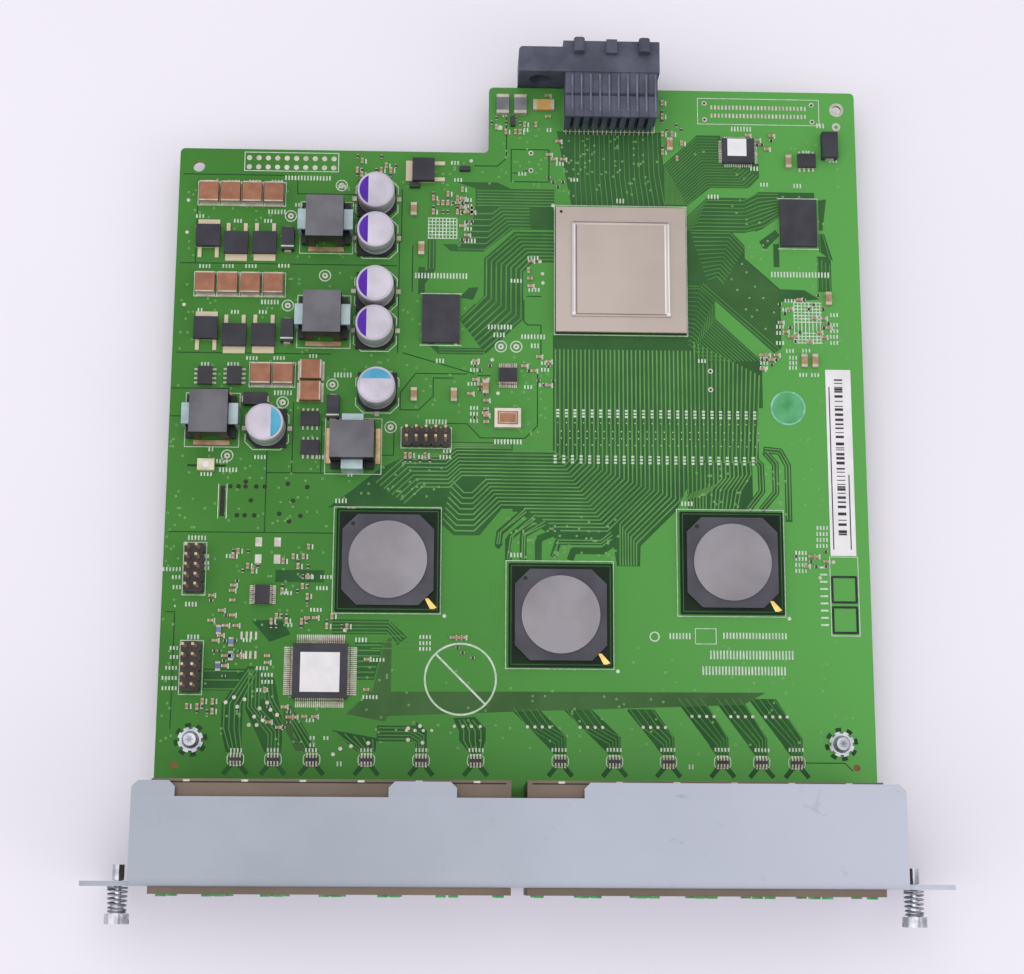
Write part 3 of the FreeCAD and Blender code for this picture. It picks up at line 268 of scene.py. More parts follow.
# Patches cleared of copper between the main buses, each with its four corners.
FEEDS = np.reshape([
    9, -90, 58, -90, 58, -70.6, 9, -70.6,  9, -105, 63.6, -105, 63.6, -88, 9, -88,
    58, -70.6, 65, -77, 65, -90, 58, -90,  -20, -110, -1.6, -110, -1.6, -100.2, -20, -100.2,
    -1.6, -118.8, 9.4, -118.8, 9.4, -102.8, -1.6, -102.8,  -20, -110, -4.4, -118, -1.6, -118, -1.6, -110,
    -20, -110, -4.4, -118, -10.2, -125.2, -17, -125.2,  -20, -110, -17, -125.2, -20, -122.4, -20.2, -116,
    -19.9, -103, -19.9, -117.6, -36, -117.6, -30.4, -104.6,
    -30.4, -104.6, -36, -117.6, -40.4, -117.6, -36.4, -107.4,
    -36.4, -107.4, -40.4, -117.6, -50, -118.2, -43.6, -113.4,
    9.4, -112, 44.4, -112, 44.4, -102.8, 9.4, -102.8,  9.4, -112, 44.4, -112, 41.6, -118, 9.4, -125.8,
    9.4, -125.8, 41.6, -118, 32, -127.6, 24.6, -125.8,  24.6, -125.6, 32, -127.4, 31.8, -133, 25.8, -133,
    0, -118.8, 9.4, -118.8, 9.4, -125.6, 5, -122.6,
    44.4, -117.6, 61.8, -117.6, 61.8, -102.8, 44.4, -102.8,  39, -33.6, 39, -22, 48.5, -13, 52, -28.2,
    48.5, -13, 55, -13, 55, -21, 52, -28.2,  52, -28.2, 55, -21, 65.4, -21, 62, -28.2,
    62, -28.2, 65.4, -21, 65.4, -25, 63, -27.6,  39, -33.6, 52, -28.2, 51.4, -28.6, 45.4, -33.6,
    10, -12.5, 38.5, -12.5, 40, -33.8, 14, -33.8,  45.2, -36.8, 51, -31, 62.5, -31, 66, -39.8,
    62.5, -31, 65, -29.2, 70.6, -29.2, 70.6, -36.4,  62.5, -31, 70.6, -36.4, 66, -39.8, 64, -40.6,
    45.2, -36.8, 66, -39.8, 61, -41, 45.2, -41,  70.6, -31, 80.4, -31, 80.4, -29.2, 70.6, -29.2,
    81.2, -41, 82.8, -41, 85, -48.6, 81.2, -46,  80.6, -57.4, 84.4, -57.4, 84.4, -47.4, 80.6, -47.4,
    81.4, -40, 81.4, -31.4, 83.6, -31, 82.4, -40,  65, -43.4, 69.5, -40, 70.6, -41.6, 66.4, -46,
    68.8, -50.6, 70.4, -50.6, 70.4, -44, 68.8, -44,  45.2, -41, 57.4, -40.6, 61, -44.6, 45.2, -50,
    45.2, -50, 61, -44.6, 61, -48.6, 49.6, -56.2,  45.2, -50, 49.6, -56.2, 45.2, -56.2, 44.8, -53,
    61, -48.2, 70.4, -56.8, 70.4, -73.4, 49.8, -55,  49.8, -55, 70.4, -73.4, 68.4, -74.8, 48, -56,
    70.4, -56.8, 77, -57, 81, -59.6, 70.4, -60.4,  45.2, -56.4, 48.6, -56.4, 52.7, -60.3, 45.2, -66,
    45.2, -66, 52.7, -60.3, 52.7, -65.4, 45.2, -74,  45.2, -74, 52.7, -65.4, 65, -77, 65, -90,
    -17.4, -27.6, -6.1, -27.6, -2.4, -29.4, -12, -29.4,  -12, -36, 9.4, -36, 9.4, -29.4, -12, -29.4,
    -8, -36, 9.4, -36, 9.4, -41, -2, -41,  -12, -36, -4, -36, -2, -41, -9.8, -47.4,
    -12, -36, -9.8, -47.4, -16.8, -47.4, -14, -42,  -20.8, -45.4, -17, -45.4, -15.6, -47.4, -18.6, -47.4,
    9.4, -41.6, 9.4, -50.2, 3.6, -50.2, -1.4, -41.6,  -1.4, -41.6, 3.6, -50.2, 1, -53, -9.6, -49.4,
    -9.6, -49.4, 1, -53, 1, -66.4, -9.6, -60,  -9.6, -60, 1, -66.4, -9, -76, -16, -66.6,
    -16, -60.4, -13.6, -57.6, -11, -57.4, -12.4, -61,  -15.6, -66, -12, -62, -11, -63, -14.6, -67,
    -24.8, -52.6, -22.6, -52.6, -22.6, -44.2, -24.8, -44.2,
    -24.8, -52.6, -22.6, -52.6, -25.6, -57, -27.2, -56,
    -27.2, -59.6, -25.4, -59.6, -25.4, -52, -27.2, -52,  -24.4, -73.4, -23, -73, -21, -74.6, -21.8, -76,
    -21.8, -76.2, -9.6, -76.2, -9.6, -74.4, -21.8, -74.4], (-1, 4, 2))
OLIVE_BAND = np.reshape([
    -38, -166.2, -38, -172.6, 0, -171, 0, -165.9,  0, -165.9, 0, -171, 58, -168.9, 64, -165.7,
    -44, -172, -38, -166.2, -30, -166.2, -34, -173.8,
    -34.4, -153.4, -32.6, -151.6, -32.6, -166.4, -38.4, -170.6,
    -60, -170.4, -57.2, -170.4, -57.2, -178, -60, -174.6,
    -60, -174.6, -57.2, -177.6, -53.4, -181.4, -56.6, -181.4], (-1, 4, 2))
# Rows of four holes: left and right end, how far back, and the array each row feeds.
VIA_GROUPS = np.array([(-28.4, -22.0, -176.0, -24.6), (-16.2, -9.6, -174.9, -10.7),
                       (2.5, 8.2, -174.9, 10.9), (16.0, 21.8, -174.9, 24.8), (32.2, 37.9, -174.8, 38.6),
                       (44.8, 50.5, -171.9, 52.5), (54.8, 60.5, -171.9, 62.5), (63.8, 69.4, -171.9, 71.6)])
LEFT_FANS = np.reshape([
    -69.4, -160, -66.3, -160, -70.3, -169.5, -75.7, -169.5,
    -75.7, -176, -70.3, -176, -70.3, -169.4, -75.7, -169.4,
    -75.7, -176, -70.3, -176, -70.3, -181.8, -74.2, -181.8,
    -69.6, -160.8, -65.8, -160.8, -65.8, -172, -69.6, -171,
    -69.6, -171, -65, -168, -59.9, -174.6, -60.2, -178,
    -69.6, -171, -60, -177.8, -60.2, -181.8, -64.4, -181.8,
    -66, -162, -62.4, -163, -60, -174.6, -65, -168.4,
    -60.4, -170, -58, -170, -50.6, -181.6, -54.6, -181.6,
    -47.5, -176, -36, -178, -36.2, -181.4, -41, -181.4,
    -42, -153.5, -34.6, -153.5, -37, -163.2, -42, -163.2,
    -48, -151.4, -33.6, -151.4, -33.6, -147.6, -48, -147.6,
    -33.6, -147.6, -33.6, -151.4, -31.2, -154.2, -28.6, -152,
    -80.6, -166.2, -69.6, -166.2, -69.6, -160.6, -80.6, -160.6,
    -63, -138, -50.4, -138, -50.4, -134.8, -63, -134.8,
    -68.8, -148, -61, -148, -58.6, -151.6, -64, -153.6], (-1, 4, 2))
group_left, group_right, group_back, array_middle = VIA_GROUPS.T
slant = group_back[2:] + 4.6
fan_tops = [[(left - 4.4, top), (right - 2.8, top), (middle + 1.6, -177.4), (middle - 1.6, -181.6)]
            for left, right, top, middle in zip(group_left[2:], group_right[2:], slant, array_middle[2:])]
fan_feet = [
    [(middle + 1.6, -177.4), (middle + 1.6, -181.8), (middle - 1.6, -181.8), (middle - 3.4, -179.4)]
    for middle in array_middle[2:]]
FIRST_FANS = np.reshape([
    -16.6, -172.8, -11, -172.4, -8.2, -175.4, -15, -176,
    -15, -175.6, -8.2, -175.2, -8.2, -178.4, -15, -178.4,
    -15, -178.4, -8.2, -178.2, -9.2, -181.8, -12.2, -181.8,
    -36, -178.8, -26, -178.8, -26, -174.8, -36, -174.8,
    -26, -173.8, -23.2, -176, -23.2, -181.8, -26.2, -181.8], (-1, 4, 2))
ARRAY_MIDDLES = (-71.7, -62.2, -52.4, -38.5, -24.6, -10.7, 10.9, 24.8, 38.6, 52.5, 62.5, 71.6)
array_feeds = lines([[(x + side * 0.5, -184.3), (x + side * 2.9, -187.2)] for x in ARRAY_MIDDLES
                     for side in (-1, 1)], 1.2)

branches = lines(np.reshape([
    2, -118.2, -4.9, -124.4, -5.3, -127.6, -4.9, -127.9,
    4.4, -120, -1.6, -125, -2.6, -126.6, -2.6, -131.6,  7, -121.6, 1.4, -124.8, 1.2, -126, 1.2, -131.6,
    9.6, -124.2, 5.6, -125.8, 5.2, -127, 5.2, -131.6,
    24.4, -124.4, 21.6, -126.6, 10.4, -126.6, 9.2, -130.4,  26, -126, 22, -129, 14.4, -129, 13.6, -131.2,
    61.8, -103.4, 64, -105.6, 64.2, -112.6, 60.6, -117.4,
    65.4, -102.2, 67.9, -105.2, 67.9, -113, 64.2, -117.4,
    65.2, -101.4, 69.2, -101.8, 71.2, -105.6, 71.2, -120.4], (-1, 4, 2)), 1.8)

cleared = finish("resist_over_laminate", (30, 78, 34), (44, 96, 42), 0.42, cloud=90, lift=0.06, shine=0.15)
# Painted light: the cleared areas are mixed lighter toward the board's rear edge, where more light falls.
tint_by_side(cleared, -60, 80, tone(64, 106, 60), amount=0.5, axis="Y")
lay("cleared_areas",
    np.concatenate([FEEDS, LEFT_FANS, fan_tops, fan_feet, FIRST_FANS, array_feeds, branches]),
    LAYER["cleared"], cleared)
olive = finish("resist_over_band", (58, 96, 48), (68, 108, 56), 0.42, cloud=90, lift=0.06, shine=0.15)
slanted = bundle(17, 0.42, 61.0, -49.2, 50.8, -55.4, 69.8, -57.6, 69.8, -72.8)
lay("ground_band", np.concatenate([OLIVE_BAND, slanted]), LAYER["band"], olive)

BRANCH_TRACKS = [
    (2, 0.32, 2, -117.8, 2, -118.8, -4.6, -124, -5.2, -124.6, -5, -127.4, -5.6, -127.4),
    (2, 0.32, 4.4, -119.6, 4.4, -120.6, -1.3, -124.8, -2, -125.4, -2.3, -131.4, -2.9, -131.4),
    (2, 0.32, 7, -121.2, 7, -122.2, 1.7, -124.6, 1.1, -125.2, 1.5, -131.4, 0.9, -131.4),
    (2, 0.32, 24.2, -124, 24.6, -124.8, 21.6, -126.2, 21.6, -127, 10.4, -126.2, 10.4, -127, 9.6, -130.4,
     8.9, -130.4),
    (2, 0.32, 61.6, -103.6, 62.2, -103.2, 63.6, -105.8, 64.4, -105.4, 63.8, -112.4, 64.6, -112.8, 60.2,
     -117.2, 61, -117.4),
    (2, 0.32, 65.2, -102.5, 65.8, -102, 67.5, -105.4, 68.3, -105, 67.5, -112.8, 68.3, -113.2, 63.8, -117.2,
     64.6, -117.4),
    (2, 0.32, 65.2, -101.8, 65.2, -101, 69, -102.2, 69.4, -101.4, 70.8, -105.7, 71.6, -105.5, 70.8, -120.2,
     71.6, -120.2)]
PAIR_TRACKS = [
    (33, 0.42, 9.7, -74.5, 45.8, -74.5, 9.7, -104.5, 45.8, -105),
    (16, 0.42, 46.9, -72, 64.2, -81, 46.9, -105, 62.9, -105),
    (16, 0.36, 9.7, -102, 26.6, -104.6, 9.7, -102.2, 26.6, -109.2, 9.4, -102.5, 18.9, -117, -4, -102.5, -4,
     -117),
    (7, 0.36, 27.8, -104.4, 34.5, -104.8, 27.8, -109.7, 34.5, -112.5, 19.6, -117.9, 23.3, -123.7, 1.5,
     -117.9, 11, -123.7),
    (7, 0.36, 35.7, -104.6, 42.4, -104.8, 35.7, -112.6, 42.4, -115.4, 26.6, -121.8, 30.9, -126.9, 26.6,
     -132.8, 30.9, -132.8),
    (8, 0.36, -4, -102.5, -4, -109.2, -16.4, -102.5, -15, -109.2, -19.4, -105, -18.2, -112.4, -30.6, -105,
     -25.4, -112.4, -37.4, -111.4, -30, -116.8),
    (8, 0.36, -4, -110.2, -4, -117, -8.6, -110.2, -4.6, -117, -12.2, -113.8, -11.6, -124, -14.4, -113.8,
     -16.6, -124, -17.4, -110.8, -19.8, -120.8),
    (3, 0.36, -2, -100.7, -2, -101.7, -17.4, -100.7, -16.8, -101.7, -20.4, -103.4, -20, -104.2, -30, -103.6,
     -30.2, -104.4),
    (9, 0.36, 43.6, -104.6, 52.6, -104.6, 43.6, -114, 52.6, -110.6, 42.8, -115.4, 49.4, -113.6, 42.8,
     -117.4, 49.4, -117.4),
    (8, 0.36, 53.6, -104.6, 61.2, -104.6, 53.6, -109.4, 61.4, -108, 51, -112.2, 58.6, -112.6, 50.6, -117.4,
     57.6, -117.4)]
pair_colour = finish("resist_over_tracks", (86, 138, 70), (104, 156, 86), 0.4, cloud=120, lift=0.06,
                     shine=0.15)
lay("pair_tracks", np.concatenate([bundle(*row) for row in PAIR_TRACKS + BRANCH_TRACKS]), LAYER["tracks"],
    pair_colour)

FINE_TRACKS = [
    (6, 0.34, -11.6, -30, -11.6, -34.2, 9.4, -30, 9.4, -34.2),
    (7, 0.34, 2.4, -34.9, 3, -40.6, -5.4, -34.9, -2.4, -40.6, -7.4, -36.6, -9.4, -46.8, -13.4, -36.6, -16.8,
     -46.8),
    (8, 0.46, 9.2, -42.4, 9.2, -49.4, -1, -42.4, 3.4, -49.4, -8.9, -49.6, 0.4, -52.6, -8.9, -59.8, 0.4, -66,
     -15.8, -67, -9.4, -75),
    (18, 0.22, 15, -13, 37.6, -13, 15, -26, 38, -25, 15.4, -33.6, 39.4, -33.6),
    (9, 0.24, 39.6, -33.2, 42.2, -33.2, 39.6, -22.2, 42.4, -27.2, 48.2, -13.8, 49.6, -20.4, 54.2, -13.8,
     54.2, -20.4),
    (9, 0.24, 42.6, -33.2, 45.2, -33.2, 42.8, -28, 45.6, -33, 49.8, -21.4, 51.2, -27.8, 57, -21.4, 61.6,
     -27.8, 57.6, -21.2, 65, -24.4),
    (9, 0.3, 45.4, -37, 45.4, -40.4, 50.8, -31.8, 47.6, -40.4, 61, -31.8, 61.6, -40.4, 64.6, -29.8, 66.4,
     -39, 70.4, -29.8, 70.4, -36.2),
    (12, 0.28, 46.4, -41.2, 50.6, -54.6, 57.2, -41.2, 53.4, -53.4, 61, -45.4, 55.2, -55.4),
    (14, 0.22, 45.4, -57, 45.4, -72.6, 48.6, -57, 46, -73, 52.4, -60.6, 46.6, -73.6, 52.4, -65.8, 47, -74.2,
     64.4, -77, 50.5, -77.4),
    (2, 0.3, 49.6, -55.6, 48.8, -56.2, 69.8, -73.8, 69, -74.4),
    (4, 0.28, 80.8, -47.8, 84, -49.8, 80.8, -57, 84, -57),
    (2, 0.28, 81.6, -41.2, 82.4, -41.2, 81.6, -46.4, 84.2, -48.4),
    (2, 0.28, -24.2, -44.4, -23.2, -44.4, -24.2, -52.4, -23.2, -52.4),
    (2, 0.28, -21.4, -74.9, -21.4, -75.7, -9.8, -74.9, -9.8, -75.7),
    (3, 0.24, -38, -151.8, -38, -155, -10, -151.8, -6, -155, -7.2, -147, -4.8, -147, -7.2, -137.6, -4.8,
     -138.6),
    (4, 0.3, -69, -160.6, -66.6, -160.6, -75, -169.6, -71, -169.6, -75, -175.8, -71, -175.8, -73.4, -181,
     -70.4, -181),
    (4, 0.3, -69, -161, -66.2, -161, -69, -170.4, -66.2, -170.4, -63.6, -177.4, -60.9, -176, -63.6, -181,
     -60.9, -181),
    (3, 0.3, -65.6, -162.4, -63.2, -163, -64.6, -168.4, -62.6, -168.4, -60.4, -175.6, -59.6, -173.6),
    (3, 0.3, -59.8, -170.6, -58.4, -170.6, -53.8, -181, -51.2, -181),
    (4, 0.3, -48, -148.2, -48, -150.9, -33.4, -148.2, -33.8, -150.9, -29.4, -152.2, -31.4, -153.8),
    (7, 0.34, -41.8, -154.2, -41.8, -162.6, -35, -154.2, -37.2, -162.6),
    (3, 0.34, -80.4, -161.2, -80.4, -165.8, -70.4, -161.2, -72.6, -165.8),
    (5, 0.3, -46.6, -176.6, -37, -178.4, -40.4, -181.2, -36.8, -181.2),
    (4, 0.3, -15, -173.2, -11.6, -173.2, -13.8, -176, -9.4, -176, -13.8, -178.4, -9.4, -178.4, -12, -181.6,
     -9.6, -181.6),
    (4, 0.3, -35.6, -175.4, -35.6, -178.2, -27.4, -175.4, -27.4, -178.2, -24, -177.4, -25.8, -179.2, -24,
     -181.6, -25.8, -181.6)]
FINE_TRACKS += [
    (4, 0.22, left - 3.4, top, right - 3.4, top, left, back, right, back, middle - 1.2, -179.2,
     middle + 1.2, -177.2, middle - 1.2, -181.4, middle + 1.2, -181.4)
    for (left, right, back, middle), top in zip(VIA_GROUPS[2:], slant)]
fine_colour = finish("resist_over_fine_tracks", (72, 126, 58), (88, 144, 72), 0.4, cloud=120, lift=0.06,
                     shine=0.15)
lay("fine_tracks", np.concatenate([bundle(*row) for row in FINE_TRACKS]), LAYER["fine tracks"], fine_colour)

# Thin cuts between copper areas, each with its two ends.
GAPS = np.reshape([
    -91, -51.7, -33, -51.7,  -91, -76.6, -50, -76.6,  -60.2, -26.5, -60.2, -31.7,
    -91, -26.5, -60.2, -26.5,  -60.2, -31.7, -34, -31.7,  -87, -35, -87, -51.6,  -32.4, -45, -32.4, -76,
    -92, -86.4, -76, -86.4,  -92, -94, -73, -94,  -91, -125, -48.5, -125,  -66.2, -103, -66.2, -125,
    -66, -109, -45, -109,  -59.6, -90, -59.6, -109,  -52, -95, -52, -109,  -2.4, -18, 7.9, -18,
    7.9, -18, 7.9, -27.3,  7.9, -27.3, -2.4, -27.3,  -2.4, -27.3, -2.4, -18,  -31, -76, -12, -81.5,
    -27.5, -81.6, -14, -81.6,  -31.5, -87, -27.5, -81.6,  -31.5, -91.6, -31.5, -87,
    -26.6, -91.6, -31.5, -91.6,  -22.8, -87.8, -26.6, -91.6,  -22.8, -82.8, -22.8, -87.8,
    -17.4, -82.8, -22.8, -82.8,  -19, -95.2, -13.8, -95.2,  -13.8, -95.2, -10.2, -99,
    -10.2, -99, 1.6, -99,  1.6, -99, 4.9, -95.6,  4.9, -95.6, 4.9, -80,  -7.6, -82, -11, -82,
    -48.4, -104, -33, -104,  -33, -104, -33, -96.6,  -28.8, -46, -28.8, -59,  -31.9, -30, -31.9, -45,
    -12.5, -22.9, -6.2, -22.9,  -6.2, -22.9, -3.7, -20.6,  -3.7, -20.6, -3.7, -5,  -2, -24.8, 0.6, -24.8,
    0.6, -24.8, 2.2, -23.8,  2, -59.8, 5.8, -59.8,  1.2, -61, 1.2, -66.8,  1.2, -66.8, 2.2, -67.8,
    2.2, -67.8, 5.8, -67.8,  5.8, -67.8, 5.8, -76,  -91, -146, -88.6, -146,  -88.6, -146, -88.6, -176,
    73.6, -183.6, 84, -183.6,  84, -183.6, 86, -185.6], (-1, 2, 2))
# The same dark green serves the etched gaps and the painted shadow dashes round the washers.
gap_and_shadow_colour = finish("etched_gap_and_shadow", (22, 62, 26), (34, 80, 34), 0.42, cloud=200, lift=0.05, shine=0.15)
lay("copper_gaps", lines(GAPS, 0.26), LAYER["gaps"], gap_and_shadow_colour)


# ---- Through holes and pads ------------------------------------------------------------------------------
# Drilled, plated holes join the layers. Most are tented with resist and show as small pale dots with a dark
# middle of painted shade; the test points, the debug footprint and the spare pads are bare tin, and the open
# holes are discs of painted shade.

tin = finish("hot_tin", (176, 172, 160), (204, 200, 188), 0.4, metallic=0.3, cloud=600, grain=3000, lift=0.2)
# Painted shade: flat dark patches stand for the shade in holes, slits, mouths and dimples and at the lamp's
# ends.
painted_shade = finish("painted_shade_dark", (26, 30, 22), (44, 42, 30), 0.6, cloud=800, grain=3000)
pale_rim = finish("resist_on_rim", (120, 176, 100), (150, 196, 126), 0.36, cloud=400)
seed = np.random.default_rng(11)


def scattered(count, left, right, front, back, pitch=0.635):
    """Places drawn at random in a rectangle and moved onto a grid of the given pitch."""
    drawn = seed.uniform((left, front), (right, back), (count, 2))
    return np.unique(np.round(drawn / pitch) * pitch, axis=0)


TEST_RINGS = np.reshape([
    -48.3, -29.2,  -61.8, -38.1,  -52.2, -54.8,  -61.9, -63.3,  -49.5, -85,  -62.5, -90,  -33.9, -96.4,
    -76.6, -104.6,  -4.9, -73.9,  -0.8, -73.9], (-1, 2))
SPARE_RINGS = np.reshape([
    3, -19,  3, -24,  51.1, -80,  51.1, -85.1,  50.65, -3.65,  50.7, -8.4,  80.3, -3.7,
    80.4, -8.6], (-1, 2))
WHITE_DOTS = np.reshape([
    -89.5, -34,  -89.5, -43.1,  -89.5, -63.4,  5.5, -50,  6.2, -53.4,  6.3, -56,  82.6, -131.4,
    79, -135.6,  -13.3, -21.5,  9, -34,  -74.7, -169.2,  -72.6, -167.9,  -71.7, -170.3,  -69.9, -168.4,
    -66, -170.7,  -67.3, -172.8,  -65.1, -173.7,  -68.6, -174.9,  -66.6, -174.9,  -64.1, -169.2,
    -63.2, -171,  -61.5, -172.3,  -44.7, -150.4,  -47, -182.2,  -45.2, -180.8,  -42.5, -180.1,
    -38.1, -179.3,  -28, -175.5,  -25, -174.9,  -28, -178.4,  -24.3, -179.1,  -7.2, -77.6,  -5.6, -86.8,
    -16.9, -73.2], (-1, 2))
tented = np.concatenate([scattered(*area) for area in (
    (90, -91, -34, -50, -28), (90, -91, -34, -76, -53), (70, -91, -46, -102, -78),
    (60, -44, -14, -96, -60), (80, 10, 38, -31, -14), (8, 62, 69, -50, -42), (40, 66, 90, -56, -14),
    (60, -90, -50, -124, -104), (80, -80, -50, -180, -127), (40, -48, -20, -116, -104),
    (60, -4, 26, -131, -120), (60, 46, 71, -124, -106), (60, 28, 90, -182, -152),
    (60, -40, 28, -182, -160), (40, 72, 90, -130, -60), (30, -6, 8, -30, -12), (20, -34, -6, -30, -22),
    (30, -92, -88, -180, -100), (40, -2, 8, -98, -76))])
BUS_PITCH = 2.28
bus_pins = np.stack([(10.3 + BUS_PITCH * np.arange(24)).repeat(4) + np.tile((0.0, 0.9, 0.9, 0.0), 24),
                     np.tile((-94.6, -96.9, -98.8, -100.6), 24)], axis=-1)
fan_pins = np.stack([np.linspace(group_left, group_right, 4).T.ravel(), group_back.repeat(4)], axis=-1)
debug_pads = np.stack([np.tile(52.65 + np.arange(27) * 0.994, 2), np.repeat((-7.2, -4.8), 27)], axis=-1)
slot_rings = np.reshape([
    -75.5, -112.8,  -73.3, -112.8,  -71.5, -112.8,  -68.7, -112.8,  -66.5, -112.8,  -71.5, -111.5,
    -70, -116.5,  -55.4, -112.8,  -60.5, -112,  -59, -116.5,  -73.5, -120.5,  -71.5, -120.5,  -69, -120.5,
    -62.5, -120,  -57, -120.5,  -59.9, -122], (-1, 2))
HEADER_PITCH = 2.54
shut_holes = np.stack([np.tile(-73.44 + HEADER_PITCH * np.arange(10), 2), np.repeat((-24.2, -21.6), 10)],
                      axis=-1)
tented = np.concatenate([tented, np.reshape([
    48, -18.6,  50.3, -17.8,  60.1, -22.2,  59.3, -24.2,  61.3, -25.4,  60, -31.7,  57.9, -33.3,
    59, -35.3,  61.7, -37.1,  61.7, -38.5,  65.2, -38,  60.2, -49.8,  57.3, -54.2,  61.4, -52.2,
    63.6, -56.2,  58.8, -57.2,  62, -59.4,  65.8, -59.4,  61, -62.6,  68.6, -63.4,  62.6, -64.6,
    64, -62.8,  66.2, -68], (-1, 2))])
lay("tented_rims", rounds(tented, 0.14, 0.30, 8), LAYER["rims"], pale_rim)
# Painted shade in the middle of each tented hole.
lay("tented_holes", rounds(np.concatenate([tented, slot_rings]), 0.0, 0.15, 6), LAYER["shut holes"],
    painted_shade)
lay("bare_rings",
    np.concatenate([rounds(TEST_RINGS, 0.25, 0.8, 20), rounds(SPARE_RINGS, 0.35, 0.7, 14),
                    rounds(shut_holes, 0.0, 0.72, 14), rounds([(87.2, -5.0)], 1.2, 2.0, 24),
                    rounds([(87.0, -10.0)], 0.5, 1.2, 16)]),
    LAYER["bare metal"], tin, "bright_steel")
# Painted shade: the open holes and the slot are flat dark discs and patches.
lay("open_holes",
    np.concatenate([rounds(SPARE_RINGS, 0.0, 0.35, 14), rounds(TEST_RINGS, 0.0, 0.25, 12),
                    rounds(slot_rings, 0.2, 0.6, 12), [box_of(-78.0, -76.8, -120.8, -112.7)]]),
    LAYER["open holes"], painted_shade)
bare_copper = finish("bare_copper", (112, 74, 44), (136, 96, 60), 0.5, metallic=0.3, cloud=500, grain=3000)
lay("copper_targets", rounds([(87.05, -184.8), (-87.2, -185.2)], 0.0, 0.9, 16), LAYER["bare metal"],
    bare_copper, "tinned_copper")
pads = np.concatenate([
    lines([upright(x, y, 0.5) for x, y in debug_pads], 0.5),
    lines([upright(x, y, 0.85) for x in (-67.6, -62.7) for y in (-132.0, -127.5)], 1.7),
    lines([upright(x, y, 0.9) for x in (-71.2, -69.9, -68.8, -67.5) for y in (-157.0, -152.0)], 0.55),
    rounds(WHITE_DOTS, 0.0, 0.5, 12), rounds(fan_pins, 0.0, 0.42, 10), rounds(bus_pins, 0.0, 0.17, 6)])
lay("bare_pads", pads, LAYER["bare pads"], tin, "bright_steel")


# ---- Board ink -------------------------------------------------------------------------------------------
# White ink screened on the resist: outlines of the parts, rows of plain ticks beside the parts, a
# struck ring, and frames for stamps and labels. It carries no words.

POST_FRAMES = np.reshape([
    -74.7, -49.3, -25.3, -20,  -31.1, -17.8, -102, -96.4,  -86.9, -81, -141.6, -127.8,
    -86.8, -80.9, -167.3, -153.4,  48.8, 82.3, -9.7, -2.2,  -48.2, -20.2, -146, -118,
    -3.2, 24.8, -160, -131.8,  41.5, 69.7, -146, -117.7,  81.6, 89, -150.8, -130,  9.4, 45.2, -70.4, -33.9,
    46, 51.4, -153.2, -149.2,  11.9, 36.8, -12.5, 0], (-1, 4))
CHOKE_FRAMES = np.reshape([
    -59.2, -45, -48.6, -34,  -59.3, -45.1, -75, -60.4,  -87.9, -73.7, -102.3, -87.7,
    -51, -36.2, -109.2, -94.2], (-1, 4))
UPRIGHT_BLOCKS = np.array([
    (x, back) for back, row in ((-32.0, (-83.8, -78.0, -72.2, -66.4)), (-57.6, (-83.9, -77.9, -71.9, -65.8)),
                                (-82.5, (-68.4, -62.5)))
    for x in row])
CERAMIC_FRAMES = [(x - 3.1, x + 3.1, back - 3.4, back + 3.4) for x, back in UPRIGHT_BLOCKS]
CAN_PLACES = np.array([(-38.7, -33.0), (-38.6, -44.1), (-38.5, -59.1), (-38.5, -70.0), (-37.6, -86.9),
                       (-66.4, -97.2)])
bracket = np.array([(-5.7, 1.5), (-5.7, 3.6), (-3.6, 5.7), (3.6, 5.7), (5.7, 3.6), (5.7, 1.5)])
brackets = CAN_PLACES[:, None] + bracket
under_brackets = CAN_PLACES[:, None] + bracket * (1, -1)
